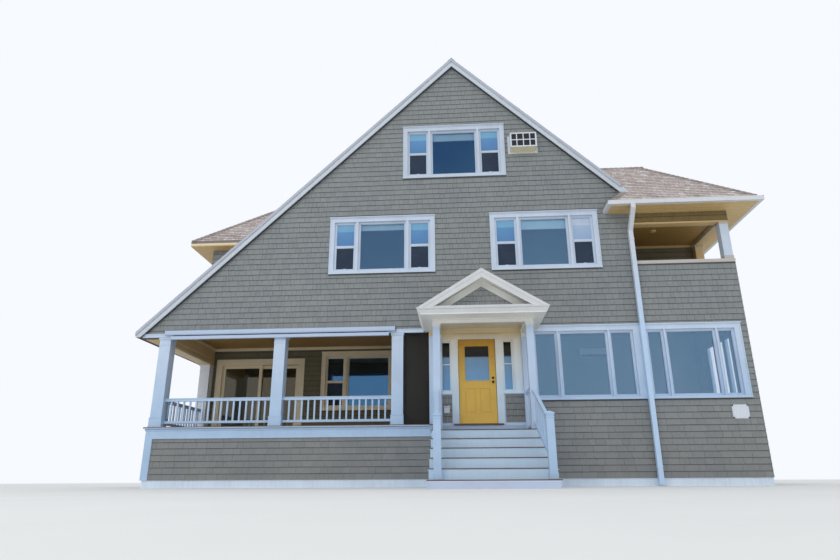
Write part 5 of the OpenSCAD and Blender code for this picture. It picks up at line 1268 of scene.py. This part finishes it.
cooler = {"area": (1.555, 2.265, 8.7485, 9.1885), "out": 0.30, "columns": 4, "bar": 0.026, "edge": 0.03,
          "rim": 0.036, "fins": 60, "louvres": 7, "louvrePitch": 0.045, "louvreRun": (-0.27, -0.09),
          "sleeve": (1.515, 2.305, 8.7085, 9.2285)}
coil, grid = newShape(), newShape()
x0, x1, z0, z1 = cooler["area"]
inner, out, half = inset(cooler["area"], cooler["edge"]), cooler["out"], cooler["bar"] / 2
addPlate(coil, frontFace, *inner, out - 0.001, out + 0.004)
for i in range(cooler["fins"]):
    x = x0 + 0.035 + i * (x1 - x0 - 0.07) / cooler["fins"]
    addPlate(coil, frontFace, x, x + 0.003, *inner[2:], out + 0.004, out + 0.009)
addFrame(grid, frontFace, *inset(cooler["area"], cooler["rim"]), cooler["rim"], out - 0.002, out + 0.020)
for i in range(1, cooler["columns"]):
    x = x0 + i * (x1 - x0) / cooler["columns"]
    addPlate(grid, frontFace, x - half, x + half, *inner[2:], out + 0.006, out + 0.018)
middle = (z0 + z1) / 2
addPlate(grid, frontFace, *inner[:2], middle - half, middle + half, out + 0.006, out + 0.019)
addFrame(grid, frontFace, *cooler["sleeve"], 0.012, 0.0, 0.046)
for i in range(cooler["louvres"]):
    z = z0 + 0.07 + i * cooler["louvrePitch"]
    for x in (x0 - 0.003, x1 - 0.003):
        addBox(grid, x, x + 0.006, *cooler["louvreRun"], z, z + 0.016)
makePiece("coolerCoil", coil, "dark", "black_hardware")
makePiece("coolerGrid", grid, "coolerMetal", "white_metal", 0.002)

plateLook = {"border": (6.415, 6.725, 1.525, 1.775), "screw": 0.006, "screwRun": (-0.018, -0.025),
             "screws": ((6.435, 1.545), (6.435, 1.755), (6.705, 1.545), (6.705, 1.755)),
             "box": (-0.372, -0.264, 1.706, 1.812), "lid": oblong(-0.394, -0.242, -0.002, -0.044),
             "lidLow": (1.835, 1.835, 1.828, 1.828), "lidHigh": (1.862, 1.862, 1.842, 1.842)}
plates = newShape()
addFrame(plates, frontFace, *plateLook["border"], 0.010, 0.018, 0.024)
for x, z in plateLook["screws"]:
    screw = circle(x, z, plateLook["screw"], 12)
    addPrism(plates, *[[(px, y, pz) for px, pz in screw] for y in plateLook["screwRun"]])
addPrism(plates, *[[(x, y, z) for (x, y), z in zip(plateLook["lid"], plateLook[level])]
                   for level in ("lidLow", "lidHigh")])
addFrame(plates, frontFace, *plateLook["box"], 0.006, 0.028, 0.033)
makePiece("plateTrim", plates, "plate", "white_metal", 0.0015)


# Seen through the glass: the cooling unit on the sunroom's back wall

roomUnit = {"shell": (3.52, 4.32, 2.70, 2.899, 3.55, 3.79), "round": 0.05,
            "vent": (3.56, 4.28, 2.694, 2.76, 3.546, 3.592)}
unitBody, unitSlot = newShape(), newShape()
addBar(unitBody, *roomUnit["shell"], roomUnit["round"], 5)
addBox(unitSlot, *roomUnit["vent"])
makePiece("roomUnit", unitBody, "unitShell", "white_metal")
makePiece("roomUnitVent", unitSlot, "iron", "black_hardware")
print("fittings done")


# Camera, light and floor

view = {"place": (-0.02, -14.8, 0.17), "pitch": 18.40, "yaw": -3.62, "roll": 0.30, "lens": 25.714,
        "far": 3000}


def turned(angle, axis):
    return Matrix.Rotation(-math.radians(view[angle]), 3, axis)


level = Matrix(((1, 0, 0), (0, 0, -1), (0, 1, 0)))
across, down, ahead = turned("roll", "Z") @ turned("pitch", "X") @ turned("yaw", "Y") @ level
cameraData = bpy.data.cameras.new("frontView")
cameraData.sensor_width, cameraData.lens, cameraData.clip_end = 36.0, view["lens"], view["far"]
camera = bpy.data.objects.new("frontView", cameraData)
scene.collection.objects.link(camera)
place = Matrix.Translation(Vector(view["place"]) + houseShift)
camera.matrix_world = place @ Matrix((across, -down, -ahead)).transposed().to_4x4()
scene.camera = camera

studio = {"air": (0.93, 0.96, 1.0, 1), "airPower": 0.82, "sky": (0.93, 0.955, 1.0, 1),
          "floor": srgb(236, 236, 234), "span": 800, "fadeFrom": 24, "fadeTo": 75}
lamps = {  # place, target, size, power and colour
    "frontSoft": ((-9, -19, 15), (0, 0, 4), 12, 900, (1, 1, 1)),
    "rightSoft": ((20, -6, 12), (2, 4, 4), 10, 350, (1.0, 0.98, 0.95)),
    "topSoft": ((-4, 16, 22), (0, 5, 6), 12, 600, (1, 1, 1)),
}


def seenRays(tree):
    # 1 for what the camera, a mirror or a pane looks at, 0 for the light itself
    rays = addNode(tree, "ShaderNodeLightPath").outputs
    seen = rays["Is Camera Ray"]
    for ray in ("Is Glossy Ray", "Is Transmission Ray"):
        seen = addNode(tree, "ShaderNodeMath", seen, rays[ray], operation="MAXIMUM").outputs[0]
    return seen


world = bpy.data.worlds.new("studioAir")
scene.world = world
world.use_nodes = True
air = world.node_tree
air.nodes.clear()
soft = addNode(air, "ShaderNodeBackground", Color=studio["air"], Strength=studio["airPower"])
plain = addNode(air, "ShaderNodeBackground", Color=studio["sky"], Strength=1.0)
addNode(air, "ShaderNodeOutputWorld", Surface=mixShaders(air, seenRays(air), soft, plain))

for name, (spot, target, size, power, color) in lamps.items():
    data = bpy.data.lights.new(name, "AREA")
    data.shape, data.size, data.energy, data.color = "SQUARE", size, power, color
    light = bpy.data.objects.new(name, data)
    scene.collection.objects.link(light)
    light.location = Vector(spot) + houseShift
    aim = Vector(target) + houseShift - light.location
    light.rotation_euler = aim.to_track_quat("-Z", "Y").to_euler()
    light.visible_glossy = False

span = studio["span"]
floorMesh = bpy.data.meshes.new("studioFloor")
floorMesh.from_pydata([(x, y, 0) for x, y in oblong(-span, span, -span, span)], [], [(0, 1, 2, 3)])
floor = bpy.data.objects.new("studioFloor", floorMesh)
scene.collection.objects.link(floor)
floorFinish, tree, shader, coords = startFinish("studioFloor")
speckle = [(0.3, dim(studio["floor"], 0.97)), (0.7, studio["floor"])]
dress(tree, shader, Roughness=0.95, Base_Color=ramp(tree, noise(tree, coords, 0.6, 3), speckle))
# far from the house the floor turns into the plain background
reach = addNode(tree, "ShaderNodeVectorMath", coords, operation="LENGTH").outputs["Value"]
fade = addNode(tree, "ShaderNodeMapRange", reach, From_Min=studio["fadeFrom"], From_Max=studio["fadeTo"],
               interpolation_type="SMOOTHSTEP")
shared = addNode(tree, "ShaderNodeMath", fade.outputs[0], seenRays(tree), operation="MULTIPLY")
distance = addNode(tree, "ShaderNodeEmission", Color=studio["sky"])
dress(tree, tree.nodes["Material Output"], Surface=mixShaders(tree, shared.outputs[0], shader, distance))
floorMesh.materials.append(floorFinish)

scene.view_settings.view_transform = "Standard"
print("all pieces done")
